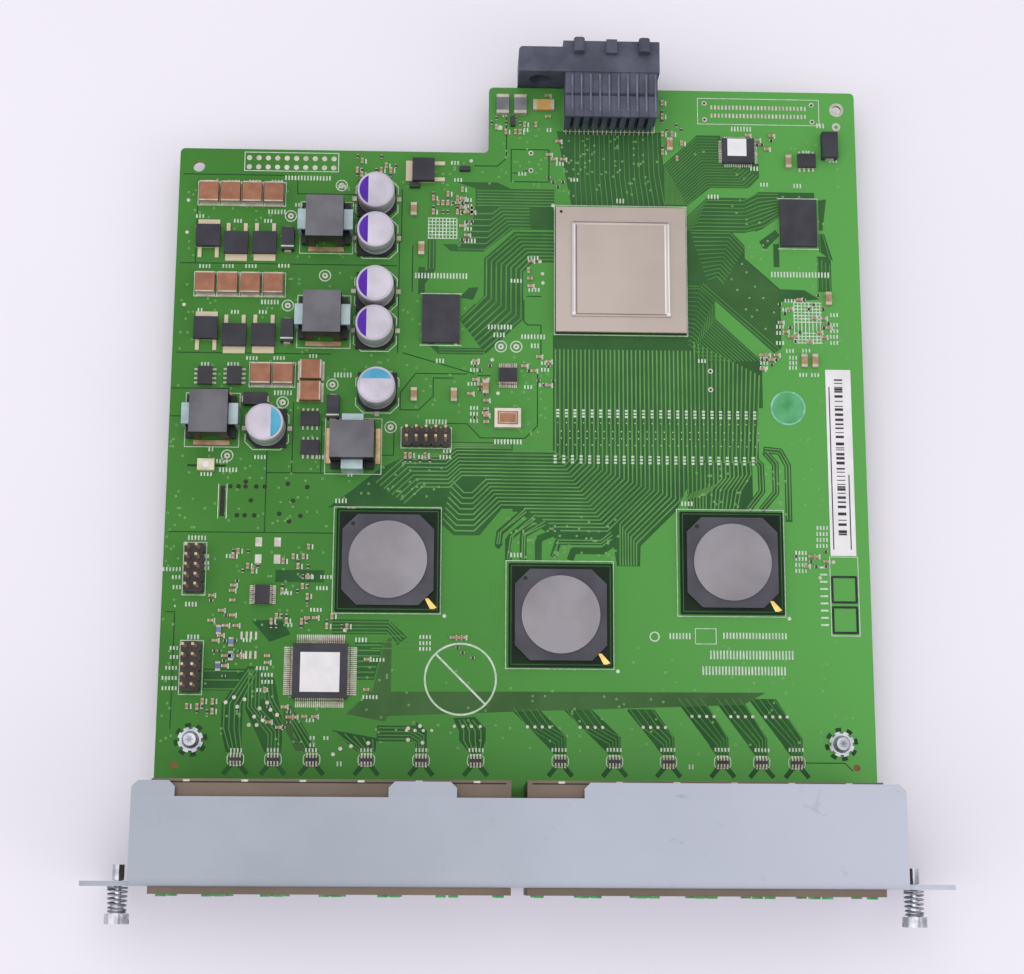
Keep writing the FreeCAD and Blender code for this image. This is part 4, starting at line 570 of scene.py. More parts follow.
# Rows of plain ticks beside the parts: middle across and back, how many, how tall.
TICK_ROWS = np.reshape([
    -46.5, -116.4, 4, 1.3,  -0.6, -130.3, 4, 1.3,  44.3, -116.2, 4, 1.3,  27.3, -32.4, 3, 1.4,
    -40.5, -152.9, 4, 1.3,  -21.1, -78.1, 3, 1.4,  75.8, -27.3, 3, 1.4,  64.1, -22.5, 3, 1.4,
    -83.6, -126.6, 6, 1.3,  -83.6, -152.5, 4, 1.3,  -84.5, -144, 4, 1.3,  -21.9, -94.8, 7, 1.4,
    -2.9, -100, 9, 1.4,  -5.2, -68.5, 8, 1.4,  -5.4, -70.7, 4, 1.4,  3.7, -71.1, 8, 1.4,
    4.2, -73.6, 3, 1.4,  -24, -152, 4, 1,  -24, -153.6, 4, 1,  -24, -155.1, 4, 1,  -36.3, -158, 5, 1,
    -37.9, -167.6, 5, 1,  -45.4, -184.6, 2, 1.3,  44.4, -184.8, 2, 1.3,  -71.6, -181.3, 4, 1,
    -62.3, -181.2, 4, 1,  -52.6, -181.2, 4, 1,  -38.6, -181.1, 4, 1,  -24.6, -181, 4, 1,
    -10.6, -180.9, 5, 1,  10.6, -180.7, 5, 1,  24.7, -180.6, 5, 1,  38.5, -180.5, 5, 1,
    52.4, -180.4, 5, 1,  62.7, -180.4, 5, 1,  71.5, -180.3, 5, 1,  -89.8, -134.9, 6, 1.1,
    -88.6, -137, 3, 1,  -88.3, -139.6, 3, 1.1,  -88.4, -155.4, 3, 1,  -88.3, -157.7, 3, 1,
    -88.9, -160.5, 4, 1,  -89.3, -163.1, 5, 1,  -89.2, -165.7, 5, 1,  -65.6, -37, 6, 1.4,
    -66.7, -62.4, 6, 1.4,  -62.5, -87.4, 6, 1.4,  -46.8, -82.3, 6, 1.4,  -48.2, -29.6, 3, 1.1,
    -59.7, -34.9, 3, 1.1,  -57.5, -27.2, 15, 1.4,  -83.4, -28.7, 4, 1.1,  -77.4, -28.6, 4, 1.1,
    -71.8, -28.5, 4, 1.1,  -65.8, -28.4, 4, 1.1,  -84.4, -52.6, 4, 1.1,  -78.2, -52.5, 4, 1.1,
    -72.1, -52.4, 4, 1.1,  -63.3, -52.2, 4, 1.1,  -86.2, -38.5, 3, 1.1,  -76, -39.7, 3, 1.1,
    -67.9, -39.6, 3, 1.1,  -85.2, -64.9, 2, 1.1,  -75.9, -65.3, 3, 1.1,  -68.5, -65.2, 3, 1.1,
    -83.3, -79.8, 3, 1.1,  -75.9, -79.7, 4, 1.1,  -71, -78, 4, 1.1,  -63.8, -77.9, 4, 1.1,
    -54.8, -77.2, 3, 1.1,  75.9, -52.7, 19, 1.7,  -21.1, -54.4, 17, 1.7,  79.9, -122.3, 4, 1.1,
    79.8, -123.9, 4, 1.1,  79.8, -125.5, 4, 1.1,  79.7, -127.1, 4, 1.1,  74.1, -129, 4, 1.1,
    74.1, -130.6, 4, 1.1,  74, -132.2, 4, 1.1,  74, -133.8, 4, 1.1,  60.6, -156, 26, 2.6,
    58.5, -160.1, 26, 2.6,  61.5, -151, 20, 1.8,  42, -151.2, 7, 1.8,  -26.1, -24.9, 4, 1.1,
    -17.7, -22.2, 3, 1.2,  -16.8, -27.1, 3, 1.1,  -14.1, -32.8, 3, 1.1,  -14, -34.5, 3, 1.1,
    -14, -36.2, 3, 1.1,  -14, -39.3, 3, 1.1,  -14, -41, 3, 1.1,  -13.4, -44.4, 4, 1.4,  3.6, -49, 4, 1.1,
    -0.9, -55.5, 4, 1.1,  3.9, -58, 4, 1.1,  -11.8, -78.5, 3, 1.1,  -12, -80.5, 3, 1.1,
    -12.2, -84.3, 4, 1.1,  -11.9, -90.9, 3, 1.1,  -11.9, -92.5, 3, 1.1,  -11.9, -94.4, 3, 1.1,
    6.9, -78.3, 3, 1.1,  6.9, -80.2, 3, 1.1,  2.4, -85, 3, 1.1,  6.4, -84.4, 3, 1.1,  -25, -104.4, 4, 1.1,
    -19.4, -104.3, 4, 1.1,  -18.9, -102.7, 3, 1.1,  -76.2, -108.4, 6, 1.3,  -77.9, -106.1, 4, 1.1,
    -81.9, -109.6, 4, 1.1,  -80.9, -102.9, 2, 1.3,  -52.8, -104.7, 4, 1.1,  -44.3, -109.2, 2, 1.4,
    -68, -104.9, 4, 1.1,  -4.2, -8, 2, 1.2,  -5.5, -11.8, 2, 1.2,  1.6, -12.3, 2, 1.2,  7.9, -12.2, 2, 1.2,
    0.6, -25, 3, 1.1,  10.9, -22, 3, 1.2,  14.8, -26.5, 3, 1.1,  60.7, -11, 7, 1.5,  82.6, -9.7, 3, 1.5,
    85.9, -19.8, 3, 1.2,  78.5, -17.6, 3, 1.2,  66.7, -27.1, 3, 1.2,  52.7, -30.8, 4, 1.4,
    73, -60.1, 4, 1.1,  71.9, -62.6, 3, 1.1,  84.8, -63.9, 3, 1.1,  84.7, -66.7, 3, 1.1,
    84.7, -68.4, 3, 1.1,  84.6, -70, 3, 1.1,  84.6, -71.7, 3, 1.1,  70.1, -67.4, 3, 1.1,
    70.1, -69.1, 3, 1.1,  70, -71.9, 3, 1.1,  72.6, -74.1, 3, 1.1,  77, -74, 3, 1.1,  76, -80.7, 3, 1.1,
    79.2, -80.7, 3, 1.1,  65.6, -76.1, 3, 1.1,  65.6, -77.5, 3, 1.1,  65.5, -78.9, 3, 1.1,
    73.4, -76, 3, 1.1,  73.4, -77.4, 3, 1.1,  73.3, -78.8, 3, 1.1,  48.9, -77.2, 3, 1.1,
    -60.1, -140.9, 4, 1,  -54.6, -136.6, 4, 1.1,  -49.9, -136.6, 4, 1,  -50.9, -139.5, 4, 1.1,
    -74.9, -131.3, 3, 1.1,  -81.4, -131.4, 3, 1.1,  -81.3, -133.2, 3, 1,  -81.2, -134.5, 3, 1.1,
    -88.6, -144.5, 1, 0.5,  -69.8, -153.2, 3, 1,  -65.7, -160.4, 4, 1,  -64.4, -162.1, 4, 1,
    -64.3, -163.9, 4, 1,  -65.5, -166, 4, 1,  -52.3, -145.2, 4, 1,  -53.1, -173.6, 3, 1,
    -52.4, -178.1, 2, 1,  -52.4, -179.9, 2, 1,  -48.9, -178.1, 2, 1,  -58.9, -149.2, 2, 1], (-1, 4))
TICK_PITCH = 0.85
ticks = [upright(x + TICK_PITCH * (step - (count - 1) / 2), y, tall * 0.4)
         for x, y, count, tall in TICK_ROWS for step in range(int(count))]
bus_ticks = [
    [(left + BUS_PITCH * column, low + TICK_PITCH * step),
     (left + BUS_PITCH * column, low + TICK_PITCH * step + 0.22)]
    for left, low in ((10.3, -93.0), (9.6, -105.5)) for column in range(24) for step in range(3)]
side_ticks = np.array([[(79.0, back), (80.8, back)] for back in np.arange(-148.0, -132.0, 1.9)])
ring_middle = np.array((-14.8, -162.8))
slash = [ring_middle - (6.4, -6.4), ring_middle + (6.4, -6.4)]
ink = finish("board_ink", (184, 204, 178), (214, 226, 208), 0.6, cloud=700)
lay("board_ink",
    np.concatenate([frames(POST_FRAMES, 0.22), frames(CHOKE_FRAMES, 0.2), frames(CERAMIC_FRAMES, 0.2),
                    lines(brackets, 0.24), lines(under_brackets, 0.24), rounds(TEST_RINGS, 1.35, 1.65, 24),
                    rounds([ring_middle], 8.9, 9.4, 48), lines([slash], 0.5),
                    rounds([(35.4, -151.4)], 1.0, 1.35, 20),
                    lines([[(-78.5, -121.4), (-78.5, -112.2)], [(-76.3, -121.4), (-76.3, -112.2)]], 0.22),
                    lines(ticks, 0.42), lines(bus_ticks, 0.8), lines(side_ticks, 0.5)]),
    LAYER["ink"], ink)
STAMP_PLACE = (71.7, -89.9)
wash = finish("stamp_wash", (96, 176, 130), (150, 206, 190), 0.4, cloud=500)
lay("round_stamp", rounds([STAMP_PLACE], 4.25, 4.7, 40), LAYER["wash"], wash)
thin_wash = finish("stamp_thin_wash", (66, 150, 82), (92, 174, 118), 0.4, cloud=240, lift=0.06)
lay("round_stamp_middle", rounds([STAMP_PLACE], 0.0, 4.25, 40), LAYER["thin wash"], thin_wash)
BLACK_FRAMES = [(82.1, 88.4, -142.0, -135.3), (82.1, 88.4, -150.0, -143.3)]
stamp_ink = finish("stamp_ink", (20, 26, 24), (40, 48, 42), 0.5, cloud=500)
lay("stamped_squares", frames(BLACK_FRAMES, 0.6), LAYER["stamp ink"], stamp_ink)


# ---- Faceplate -------------------------------------------------------------------------------------------
# Folded sheet steel with satin blue-grey paint: a front wall with two jack cut-outs, a shelf over them, an
# ear at each end and a tongue under the board. Handling has left faint scuffs scattered over the paint.

paint = finish("blue_grey_paint", (162, 168, 178), (172, 178, 188), 0.42, cloud=34, grain=1900, lift=0.25)
# Painted light: the paint is mixed lighter toward the right end of the faceplate, where more light falls.
tint_by_side(paint, -60, 105, tone(204, 206, 220), amount=0.8)
paint_tree = paint.node_tree
paint_place = add_node(paint_tree, "TexCoord").outputs["Object"]
scuffs = add_node(paint_tree, "TexNoise", Vector=paint_place, Scale=210.0, Detail=8.0, Distortion=1.2)
scuff_share = add_node(paint_tree, "ValToRGB", scuffs.outputs["Fac"])
scuff_share.color_ramp.elements[0].position = 0.66
scuff_share.color_ramp.elements[1].position = 0.78
scuff_share.color_ramp.elements[1].color = (0.35, 0.35, 0.35, 1.0)
clean = paint_tree.nodes["Principled BSDF"].inputs["Base Color"].links[0].from_socket
scuffed = mixed(paint_tree, scuff_share.outputs["Color"], clean, tone(132, 138, 148))
feed(paint_tree.nodes["Principled BSDF"], Base_Color=scuffed)
dress(paint, "faceplate")


# ---- Board fasteners -------------------------------------------------------------------------------------
# Two zinc plated pan screws with toothed lock washers clamp the board to standoffs welded on the tongues.
# Each screw head has a six-lobed recess; round the washer teeth lies a ring of dark dashes of painted
# shadow.

zinc = finish("bright_zinc", (150, 152, 158), (186, 188, 194), 0.36, metallic=0.8, grain=3000, lift=0.15)
dress(zinc, "board_screws", "lock_washers", "board_standoffs")
zinc_shade = finish("zinc_in_shade", (122, 124, 132), (150, 152, 160), 0.45, metallic=0.5, grain=3000,
                    lift=0.15)
SCREW_LOW, SCREW_HIGH = (np.array(corner) * 1000 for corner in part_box("board_screws"))
screw_places = np.array([(side, (SCREW_LOW[1] + SCREW_HIGH[1]) / 2 - REAR_EDGE)
                         for side in (SCREW_LOW[0] + 2.25, SCREW_HIGH[0] - 2.25)])
washer_ring = rounds(screw_places, 3.3, 4.3, 32).reshape(2, 32, 4, 2)[:, np.arange(32) % 4 < 2]
# Painted shadow: dark dashes round each lock washer.
lay("washer_shadow_pads", washer_ring.reshape(-1, 4, 2), LAYER["lead pads"], gap_and_shadow_colour)
lay("washer_bodies", rounds(screw_places, 2.2, 2.75, 32), 0.52, zinc, "bright_steel")
star = np.radians(np.arange(6) * 60)
recess = screw_places[:, None, None] + np.stack(
    [np.stack([np.cos(star), np.sin(star)], -1) * reach for reach in (0.0, 0.85)], 1)
lay("screw_recesses", lines(recess.reshape(-1, 2, 2), 0.34), SCREW_HIGH[2] - BOARD_TOP + 0.02, zinc_shade,
    "bright_steel")


# ---- Captive screws and their springs --------------------------------------------------------------------
# Turned and chrome plated screws stand still in the ears, though the real ones slide and turn there. Round
# wire springs wound on their shanks hold them forward; each is drawn at rest between its screw's collar and
# the ear.

chrome = finish("chrome_plate", (150, 152, 158), (200, 202, 208), 0.2, metallic=1.0, grain=2000, lift=0.05)
dress(chrome, "left_captive_screw", "right_captive_screw")
wire = finish("spring_wire", (120, 122, 126), (168, 170, 174), 0.3, metallic=1.0, cloud=400, grain=3000)


def ring_walls(count, sides):
    """Four-cornered faces between rings of points that follow one another, sides points to a ring."""
    step = np.arange(count - 1)[:, None] * sides
    turn = np.arange(sides)
    after = (turn + 1) % sides
    return np.stack([step + turn, step + after, step + after + sides, step + turn + sides],
                    -1).reshape(-1, 4)


def tube(path, radius, sides):
    """Carries a circle along a path, square to it at each point, and caps the two ends."""
    path = np.asarray(path, float)
    ahead = np.gradient(path, axis=0)
    ahead /= np.linalg.norm(ahead, axis=1, keepdims=True)
    across = np.cross(ahead, (0.3, 0.2, 0.93))
    across /= np.linalg.norm(across, axis=1, keepdims=True)
    up = np.cross(ahead, across)
    angle = np.arange(sides) * 2 * np.pi / sides
    circle = across[:, None] * np.cos(angle)[:, None] + up[:, None] * np.sin(angle)[:, None]
    points = (path[:, None] + circle * radius).reshape(-1, 3)
    cap = np.arange(sides)[None]
    return points, [ring_walls(len(path), sides), cap[:, ::-1], cap + len(points) - sides]


def wound_spring(side):
    """A spring's line: open turns on a barrel that narrows a little to its front, and flatter end turns."""
    low, high = (np.array(corner) * 1000 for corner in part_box(side + "_screw_spring"))
    middle = (low + high) / 2
    share = np.linspace(0, 1, 240)
    pitch = np.interp(share, (0.0, 0.12, 0.88, 1.0), (0.0, 0.05, 0.95, 1.0))
    radius = 2.35 - 0.25 * (1 - share)
    angle = share * 2 * np.pi * 6.5
    return np.stack([middle[0] + radius * np.cos(angle), low[1] + 0.26 + pitch * (high[1] - low[1] - 0.52),
                     middle[2] + radius * np.sin(angle)], axis=-1)


for side in ("left", "right"):
    coil = build(side + "_wound_spring", *tube(wound_spring(side), 0.24, 8), wire, "spring_wire")
    coil.data.polygons.foreach_set("use_smooth", [True] * len(coil.data.polygons))
    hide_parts(side + "_screw_spring")
    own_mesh(coil)


# ---- Jack blocks -----------------------------------------------------------------------------------------
# Each block of twelve jacks is a black moulding in a shell of thin nickelled sheet, stacked in two rows.
# Every port holds eight gold plated spring contacts, and clear green light pipes come out beside it.

shell = finish("dull_nickel", (104, 92, 80), (116, 102, 90), 0.5, metallic=0.45, cloud=40, grain=1600,
               lift=0.2)
dress(shell, "left_jack_shield", "right_jack_shield")
moulding = finish("black_moulding", (24, 24, 27), (36, 36, 40), 0.5, cloud=120, grain=2400, lift=0.3)
dress(moulding, "left_jack_housing", "right_jack_housing", "can_bases")
pipe = finish("light_pipe", (40, 150, 70), (90, 196, 110), 0.2, grain=900, lift=0.05)
dress(pipe, "left_jack_light_pipes", "right_jack_light_pipes")
gold = finish("gold_flash", (190, 156, 84), (222, 190, 116), 0.25, metallic=1.0)


def block(width, depth, low, high, draft=0.0):
    """A box round the upright axis whose top is drawn in by draft on every side, like a moulded part."""
    corner = np.array([(-1, -1), (1, -1), (1, 1), (-1, 1)]) / 2
    base = np.column_stack([corner * (width, depth), np.full(4, low)])
    top = np.column_stack([corner * (width - 2 * draft, depth - 2 * draft), np.full(4, high)])
    return np.concatenate([base, top]), np.concatenate([[(3, 2, 1, 0)], ring_walls(2, 4), [(4, 5, 6, 7)]])


def copies(shape, places, turns=0.0):
    """Repeats a shape: each copy is turned by its own degrees about the upright axis, then moved."""
    points, faces = shape
    places = np.atleast_2d(np.asarray(places, float))
    angle = np.radians(np.broadcast_to(turns, len(places)))
    ahead, aside = np.cos(angle)[:, None], np.sin(angle)[:, None]
    x, y, z = np.asarray(points, float).T
    moved = np.stack([ahead * x - aside * y, aside * x + ahead * y,
                      np.broadcast_to(z, (len(places), len(z)))],
                     -1) + places[:, None]
    shifted = np.asarray(faces)[None] + (np.arange(len(places)) * len(points))[:, None, None]
    return moved.reshape(-1, 3), shifted.reshape(-1, np.shape(faces)[1])


def joined(*shapes):
    """Puts several shapes of four-cornered faces together as one."""
    starts = np.cumsum([0] + [len(points) for points, _ in shapes[:-1]])
    return np.concatenate([points for points, _ in shapes]), np.concatenate([
        faces + start for (_, faces), start in zip(shapes, starts)])


def bent_strip(path, width, thickness):
    """A flat strip bent along a path of outward and upward steps: its section is a thin rectangle."""
    path = np.asarray(path, float)
    ahead = np.gradient(path, axis=0)
    ahead /= np.linalg.norm(ahead, axis=1, keepdims=True)
    over = np.stack([-ahead[:, 1], ahead[:, 0]], axis=-1) * thickness / 2
    rows = [np.column_stack([np.full(len(path), side * width / 2), *(path + face * over).T])
            for side, face in ((-1, -1), (1, -1), (1, 1), (-1, 1))]
    points = np.stack(rows, axis=1).reshape(-1, 3)
    walls = ring_walls(len(path), 4)[:, (1, 0, 3, 2)]
    return points, np.concatenate([walls, [(0, 1, 2, 3)], [np.arange(4)[::-1] + len(points) - 4]])


PORT_PITCH = 13.97
CONTACT_PITCH = 1.02
contact = bent_strip([(0.0, 3.2), (1.2, 3.4), (5.0, 0.6), (9.6, -1.6), (10.2, -1.2), (10.6, 0.4)], 0.45,
                     0.28)
for side in ("left", "right"):
    low, high = (np.array(corner) * 1000 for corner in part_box(side + "_jack_housing"))
    columns = (low[0] + high[0]) / 2 + (np.arange(6) - 2.5) * PORT_PITCH
    row = np.stack([(columns[:, None] + (np.arange(8) - 3.5) * CONTACT_PITCH).ravel(),
                    np.full(48, low[1] + 2.2)],
                   axis=-1)
    middle = (low[2] + high[2]) / 2
    upper = copies(contact, np.column_stack([row, np.full(48, middle + 5.0)]))
    flipped = (contact[0] * (1, 1, -1), contact[1][:, ::-1])
    lower = copies(flipped, np.column_stack([row, np.full(48, middle - 5.0)]))
    build(side + "_jack_contacts", *joined(upper, lower), gold, "gold_plate")
    shell_high = np.array(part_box(side + "_jack_shield")[1]) * 1000
    seam = np.array([(columns[0] - 7.0, shell_high[1] - REAR_EDGE - 0.8),
                     (columns[-1] + 7.0, shell_high[1] - REAR_EDGE - 0.8)])
    # Painted shade: a dark line stands for the slit along the top of each shell.
    lay(side + "_shell_seam", lines([seam], 0.35), shell_high[2] - BOARD_TOP + 0.01, painted_shade,
        "shield_nickel")
    tabs = [[(x - 0.7, seam[0, 1] + 0.35), (x + 0.7, seam[0, 1] + 0.35)] for x in columns]
    lay(side + "_shell_tabs", lines(tabs, 0.5), shell_high[2] - BOARD_TOP + 0.02, tin, "shield_nickel")


# ---- Backplane connector ---------------------------------------------------------------------------------
# Ten contact wafers of black resin stand on the board and slide into a housing that hangs over the rear
# edge, beside a guide socket. Each wafer ends in a comb of fine press-fit tails, and the mating face is a
# grid of square mouths with gold contacts inside.

PLUG_LOW, PLUG_HIGH = (np.array(corner) * 1000 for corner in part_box("backplane_housing"))
WAFER_LOW, WAFER_HIGH = (np.array(corner) * 1000 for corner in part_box("backplane_wafers"))
WAFER_PITCH = 2.5
MOUTH_PITCH = 1.55
JACK_PIN_PITCH = 1.74
wafer_middles = (WAFER_LOW[0] + WAFER_HIGH[0]) / 2 + (np.arange(10) - 4.5) * WAFER_PITCH
connector_resin = finish("connector_resin", (68, 69, 84), (88, 90, 107), 0.5, cloud=150, lift=0.3)
dress(connector_resin, "backplane_housing", "backplane_wafers")

mouth_rows = PLUG_LOW[2] + 2.4 + np.arange(6) * MOUTH_PITCH
mouths = grid(wafer_middles, mouth_rows)
rim = np.array([(-0.55, -0.5), (-0.55, 0.5), (0.55, 0.5), (0.55, -0.5)])
# The mouths are flat squares of painted shade; the gold tongues lie over them.
for name, outline, over, material, slot in (
        ("contact_mouths", rim, 0.02, painted_shade, "black_moulding"),
        ("contact_tongues", rim * (0.35, 0.8), 0.04, gold, "gold_plate")):
    square = mouths[:, None] + outline
    level = np.full(square.shape[:2], PLUG_HIGH[1] + over)
    points = np.stack([square[..., 0], level, square[..., 1]], -1).reshape(-1, 3)
    build(name, points, quads(points), material, slot)

rib = block(0.5, 10.6, 0.0, 0.28, 0.08)
rib_places = np.column_stack([wafer_middles + 0.62, np.full(10, (WAFER_LOW[1] + WAFER_HIGH[1]) / 2 + 0.4),
                              np.full(10, WAFER_HIGH[2])])
# The ribs on the wafers are drawn in a paler resin.
pale_resin = finish("paler_rib_resin", (94, 96, 113), (122, 125, 143), 0.55, cloud=200, lift=0.3)
build("wafer_ribs", *copies(rib, rib_places), pale_resin, "black_moulding")
tail = block(0.34, 1.1, 0.0, 1.1, 0.05)
tail_places = np.column_stack([np.repeat(wafer_middles, 2) + np.tile((-0.55, 0.55), 10),
                               np.full(20, WAFER_LOW[1] - 0.55), np.full(20, BOARD_TOP)])
build("wafer_tails", *copies(tail, tail_places), tin, "bright_steel")


# ---- Solder side -----------------------------------------------------------------------------------------
# Under the board every pin of the headers, jacks and connector ends in a small cone of bright solder in a
# plated ring, and the tented holes show again.

solder = finish("solder", (170, 174, 174), (206, 210, 208), 0.3, metallic=0.8, cloud=700, grain=3000,
                lift=0.3)
jack_pins = np.concatenate([grid(middle + (np.arange(48) - 23.5) * JACK_PIN_PITCH,
                                 (-200.2, -197.7, -195.2, -192.6))
                            for middle in (-45.5, 44.8)])
plug_pins = grid(wafer_middles, -11.4 + 1.5 * np.arange(7))
FIVE_PINS = (np.arange(5) - 2) * HEADER_PITCH
TWO_PINS = np.array((-1.27, 1.27))
header_pins = np.concatenate([
    grid(-24.4 + FIVE_PINS, -99.2 + TWO_PINS), grid(-83.9 + TWO_PINS, -134.7 + FIVE_PINS),
    grid(-83.8 + TWO_PINS, -160.3 + FIVE_PINS)])


def under_board(places, inner, outer, depth, sides):
    """Rings that face down under the board: the inner edge hangs depth below the outer one, like a cone."""
    patch = rounds(places, inner, outer, sides)[:, ::-1] + (0, REAR_EDGE)
    level = BOARD_LOW[2] - 0.02 - np.array((depth, 0.0, 0.0, depth))
    level = np.broadcast_to(level[:, None], (*patch.shape[:2], 1))
    return np.concatenate([patch, level], -1).reshape(-1, 3)


for name, places, inner, outer, depth, sides, material, slot in (
    ("jack_solder", jack_pins, 0.0, 0.62, 0.5, 8, solder, "bright_steel"),
    ("plug_solder", plug_pins, 0.0, 0.45, 0.4, 8, solder, "bright_steel"),
    ("header_solder", np.concatenate([header_pins, shut_holes]), 0.0, 0.8, 0.6, 10, solder, "bright_steel"),
    ("under_rims", tented, 0.14, 0.32, 0.0, 8, pale_rim, "solder_mask")):
    points = under_board(places, inner, outer, depth, sides)
    build(name, points, quads(points), material, slot)


# ---- Processor -------------------------------------------------------------------------------------------
# A ball grid package: dark laminate under a nickel plated lid with a satin grain. A pressed groove frames
# its middle, and a small dimple marks pin one. Strips of painted shade, painted highlight and lighter
# painted slope lie along the groove, and the dimple is a disc of painted shade.

laminate = finish("chip_laminate", (8, 26, 10), (16, 38, 18), 0.45, cloud=120, shine=0.15)
dress(laminate, "processor_substrate", "left_transceiver_substrate", "middle_transceiver_substrate",
      "right_transceiver_substrate")
lid_nickel = finish("satin_nickel", (164, 152, 143), (180, 168, 158), 0.42, metallic=0.35, cloud=24,
                    grain=3200, lift=0.15)
dress(lid_nickel, "processor_lid")
lid_height = np.array(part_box("processor_lid")[1])[2] * 1000 - BOARD_TOP
plate_height = lid_height - 0.35
# Painted light on the pressed groove: a shaded line, lighter slopes and bright highlights.
groove_dark = finish("groove_shade", (116, 104, 104), (138, 126, 124), 0.5, metallic=0.3, cloud=60)
groove_light = finish("groove_shine", (212, 204, 204), (232, 226, 226), 0.35, metallic=0.2, cloud=60)
groove_lit_slopes = finish("painted_slope_light", (186, 174, 170), (202, 190, 186), 0.4, metallic=0.2, cloud=60)
lay("lid_groove",
    lines([[(14.3, -39.5), (40.0, -39.5)], [(14.6, -65.3), (39.8, -65.3)], [(15.2, -40.2), (15.2, -65.0)]],
          0.32),
    lid_height + 0.01, groove_dark, "nickel_plate")
# Painted light: the groove's slopes in a lighter nickel.
lay("lid_groove_lit_slopes",
    lines([[(14.2, -40.0), (40.2, -40.0)], [(39.5, -39.8), (39.5, -65.4)], [(14.2, -39.8), (14.2, -65.4)]],
          0.5),
    lid_height + 0.016, groove_lit_slopes, "nickel_plate")
shines = np.concatenate([lines([[(14.6, -40.2), (14.6, -65.2)], [(39.1, -40.2), (39.1, -65.0)],
                                [(40.0, -40.2), (40.0, -65.2)]],
                               0.36),
                         rounds([(14.5, -65.1), (39.9, -65.2)], 0.0, 0.5, 12)])
lay("lid_groove_shine", shines, lid_height + 0.022, groove_light, "nickel_plate")
# Painted shade: the pin one dimple is a flat dark disc.
lay("pin_one_dimple", rounds([(11.1, -36.5)], 0.0, 0.42, 16), plate_height + 0.01, painted_shade, "nickel_plate")


# ---- Line transceivers -----------------------------------------------------------------------------------
# Three ball grid packages with black bevelled epoxy round a satin grey heat spreader disc. The bare
# laminate corner shows a gold plated ground trace, and a dimple in the epoxy marks pin one.

epoxy = finish("chip_epoxy", (46, 46, 52), (60, 60, 67), 0.5, cloud=160, grain=3600, lift=0.3)
dress(epoxy, "controller_chip", "memory_chips", "logic_chip", "resistor_arrays", "tantalum_capacitor",
      "rectifier_diodes")
sheen_epoxy = finish("moulded_epoxy", (62, 60, 68), (78, 76, 84), 0.42, cloud=90, grain=3600, lift=0.25)
dress(sheen_epoxy, "left_transceiver_mould", "middle_transceiver_mould", "right_transceiver_mould")
disc_grey = finish("spreader_disc", (128, 124, 128), (146, 142, 146), 0.45, metallic=0.3, cloud=60,
                   grain=3200, lift=0.2)
dress(disc_grey, "left_transceiver_spreader", "middle_transceiver_spreader", "right_transceiver_spreader")
CORNER_TRACE = np.array([(9.6, -9.9), (10.6, -10.0), (12.8, -12.4), (12.8, -13.0), (11.2, -13.0)])
for side in ("left", "middle", "right"):
    low, high = (np.array(corner) * 1000 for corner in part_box(side + "_transceiver_substrate"))
    mould_high = np.array(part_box(side + "_transceiver_mould")[1]) * 1000
    middle = (low + high)[:2] / 2 - (0, REAR_EDGE)
    lay(side + "_corner_trace", [middle + CORNER_TRACE[[0, 1, 2, 4]]], high[2] - BOARD_TOP + 0.01, gold,
        "gold_plate")
    # Painted shade: the pin one dimple in the epoxy is a flat dark disc.
    lay(side + "_mould_dimple", rounds([middle + (-9.2, 9.4)], 0.0, 0.55, 16),
        mould_high[2] - BOARD_TOP + 0.01, painted_shade, "chip_moulding")
    lay(side + "_package_rim",
        frames([(middle[0] - 12.9, middle[0] + 12.9, middle[1] - 12.9, middle[1] + 12.9)], 0.3),
        high[2] - BOARD_TOP + 0.01, cleared, "laminate")
    lay(side + "_corner_dot", rounds([middle + (14.8, -14.4)], 0.0, 0.5, 12), LAYER["small marks"], ink)


# ---- Leaded chips ----------------------------------------------------------------------------------------
# The controller has 25 tinned leads bent down on each of its four sides, and a blank paper label. The small
# chips stand on flat leads, and two of them have finer rows of ten.

lead = bent_strip([(0.0, 0.85), (0.45, 0.8), (0.8, 0.12), (1.5, 0.08)], 0.24, 0.14)
CONTROLLER = (np.array(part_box("controller_chip")[0]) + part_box("controller_chip")[1]) * 500
half_side = 7.0
LEAD_PITCH = 0.5
lead_rows = (np.arange(25) - 12) * LEAD_PITCH
sides = {0: (0, 1), 180: (0, -1), 90: (-1, 0), -90: (1, 0)}
lead_places = np.concatenate([[(CONTROLLER[0] + out[0] * half_side + row * abs(out[1]),
                                CONTROLLER[1] + out[1] * half_side + row * abs(out[0]), BOARD_TOP)
                               for row in lead_rows]
                              for out in sides.values()])
lead_turns = np.repeat(list(sides), 25)
lead_tin = finish("tinned_lead", (160, 146, 136), (196, 184, 174), 0.4, metallic=0.3, cloud=600, grain=3000)
build("controller_leads", *copies(lead, lead_places, lead_turns), lead_tin, "bright_steel")
lead_pads = np.array([[(place[0] - turn_x * 0.6, place[1] + turn_y * 0.6 - REAR_EDGE),
                       (place[0] + turn_x * 2.3, place[1] + turn_y * 2.3 - REAR_EDGE)]
                      for place, (turn_x, turn_y) in zip(
                          lead_places, np.repeat(list(sides.values()), 25, axis=0))])
lay("controller_pads", lines(lead_pads, 0.3), LAYER["lead pads"], tin, "bright_steel")

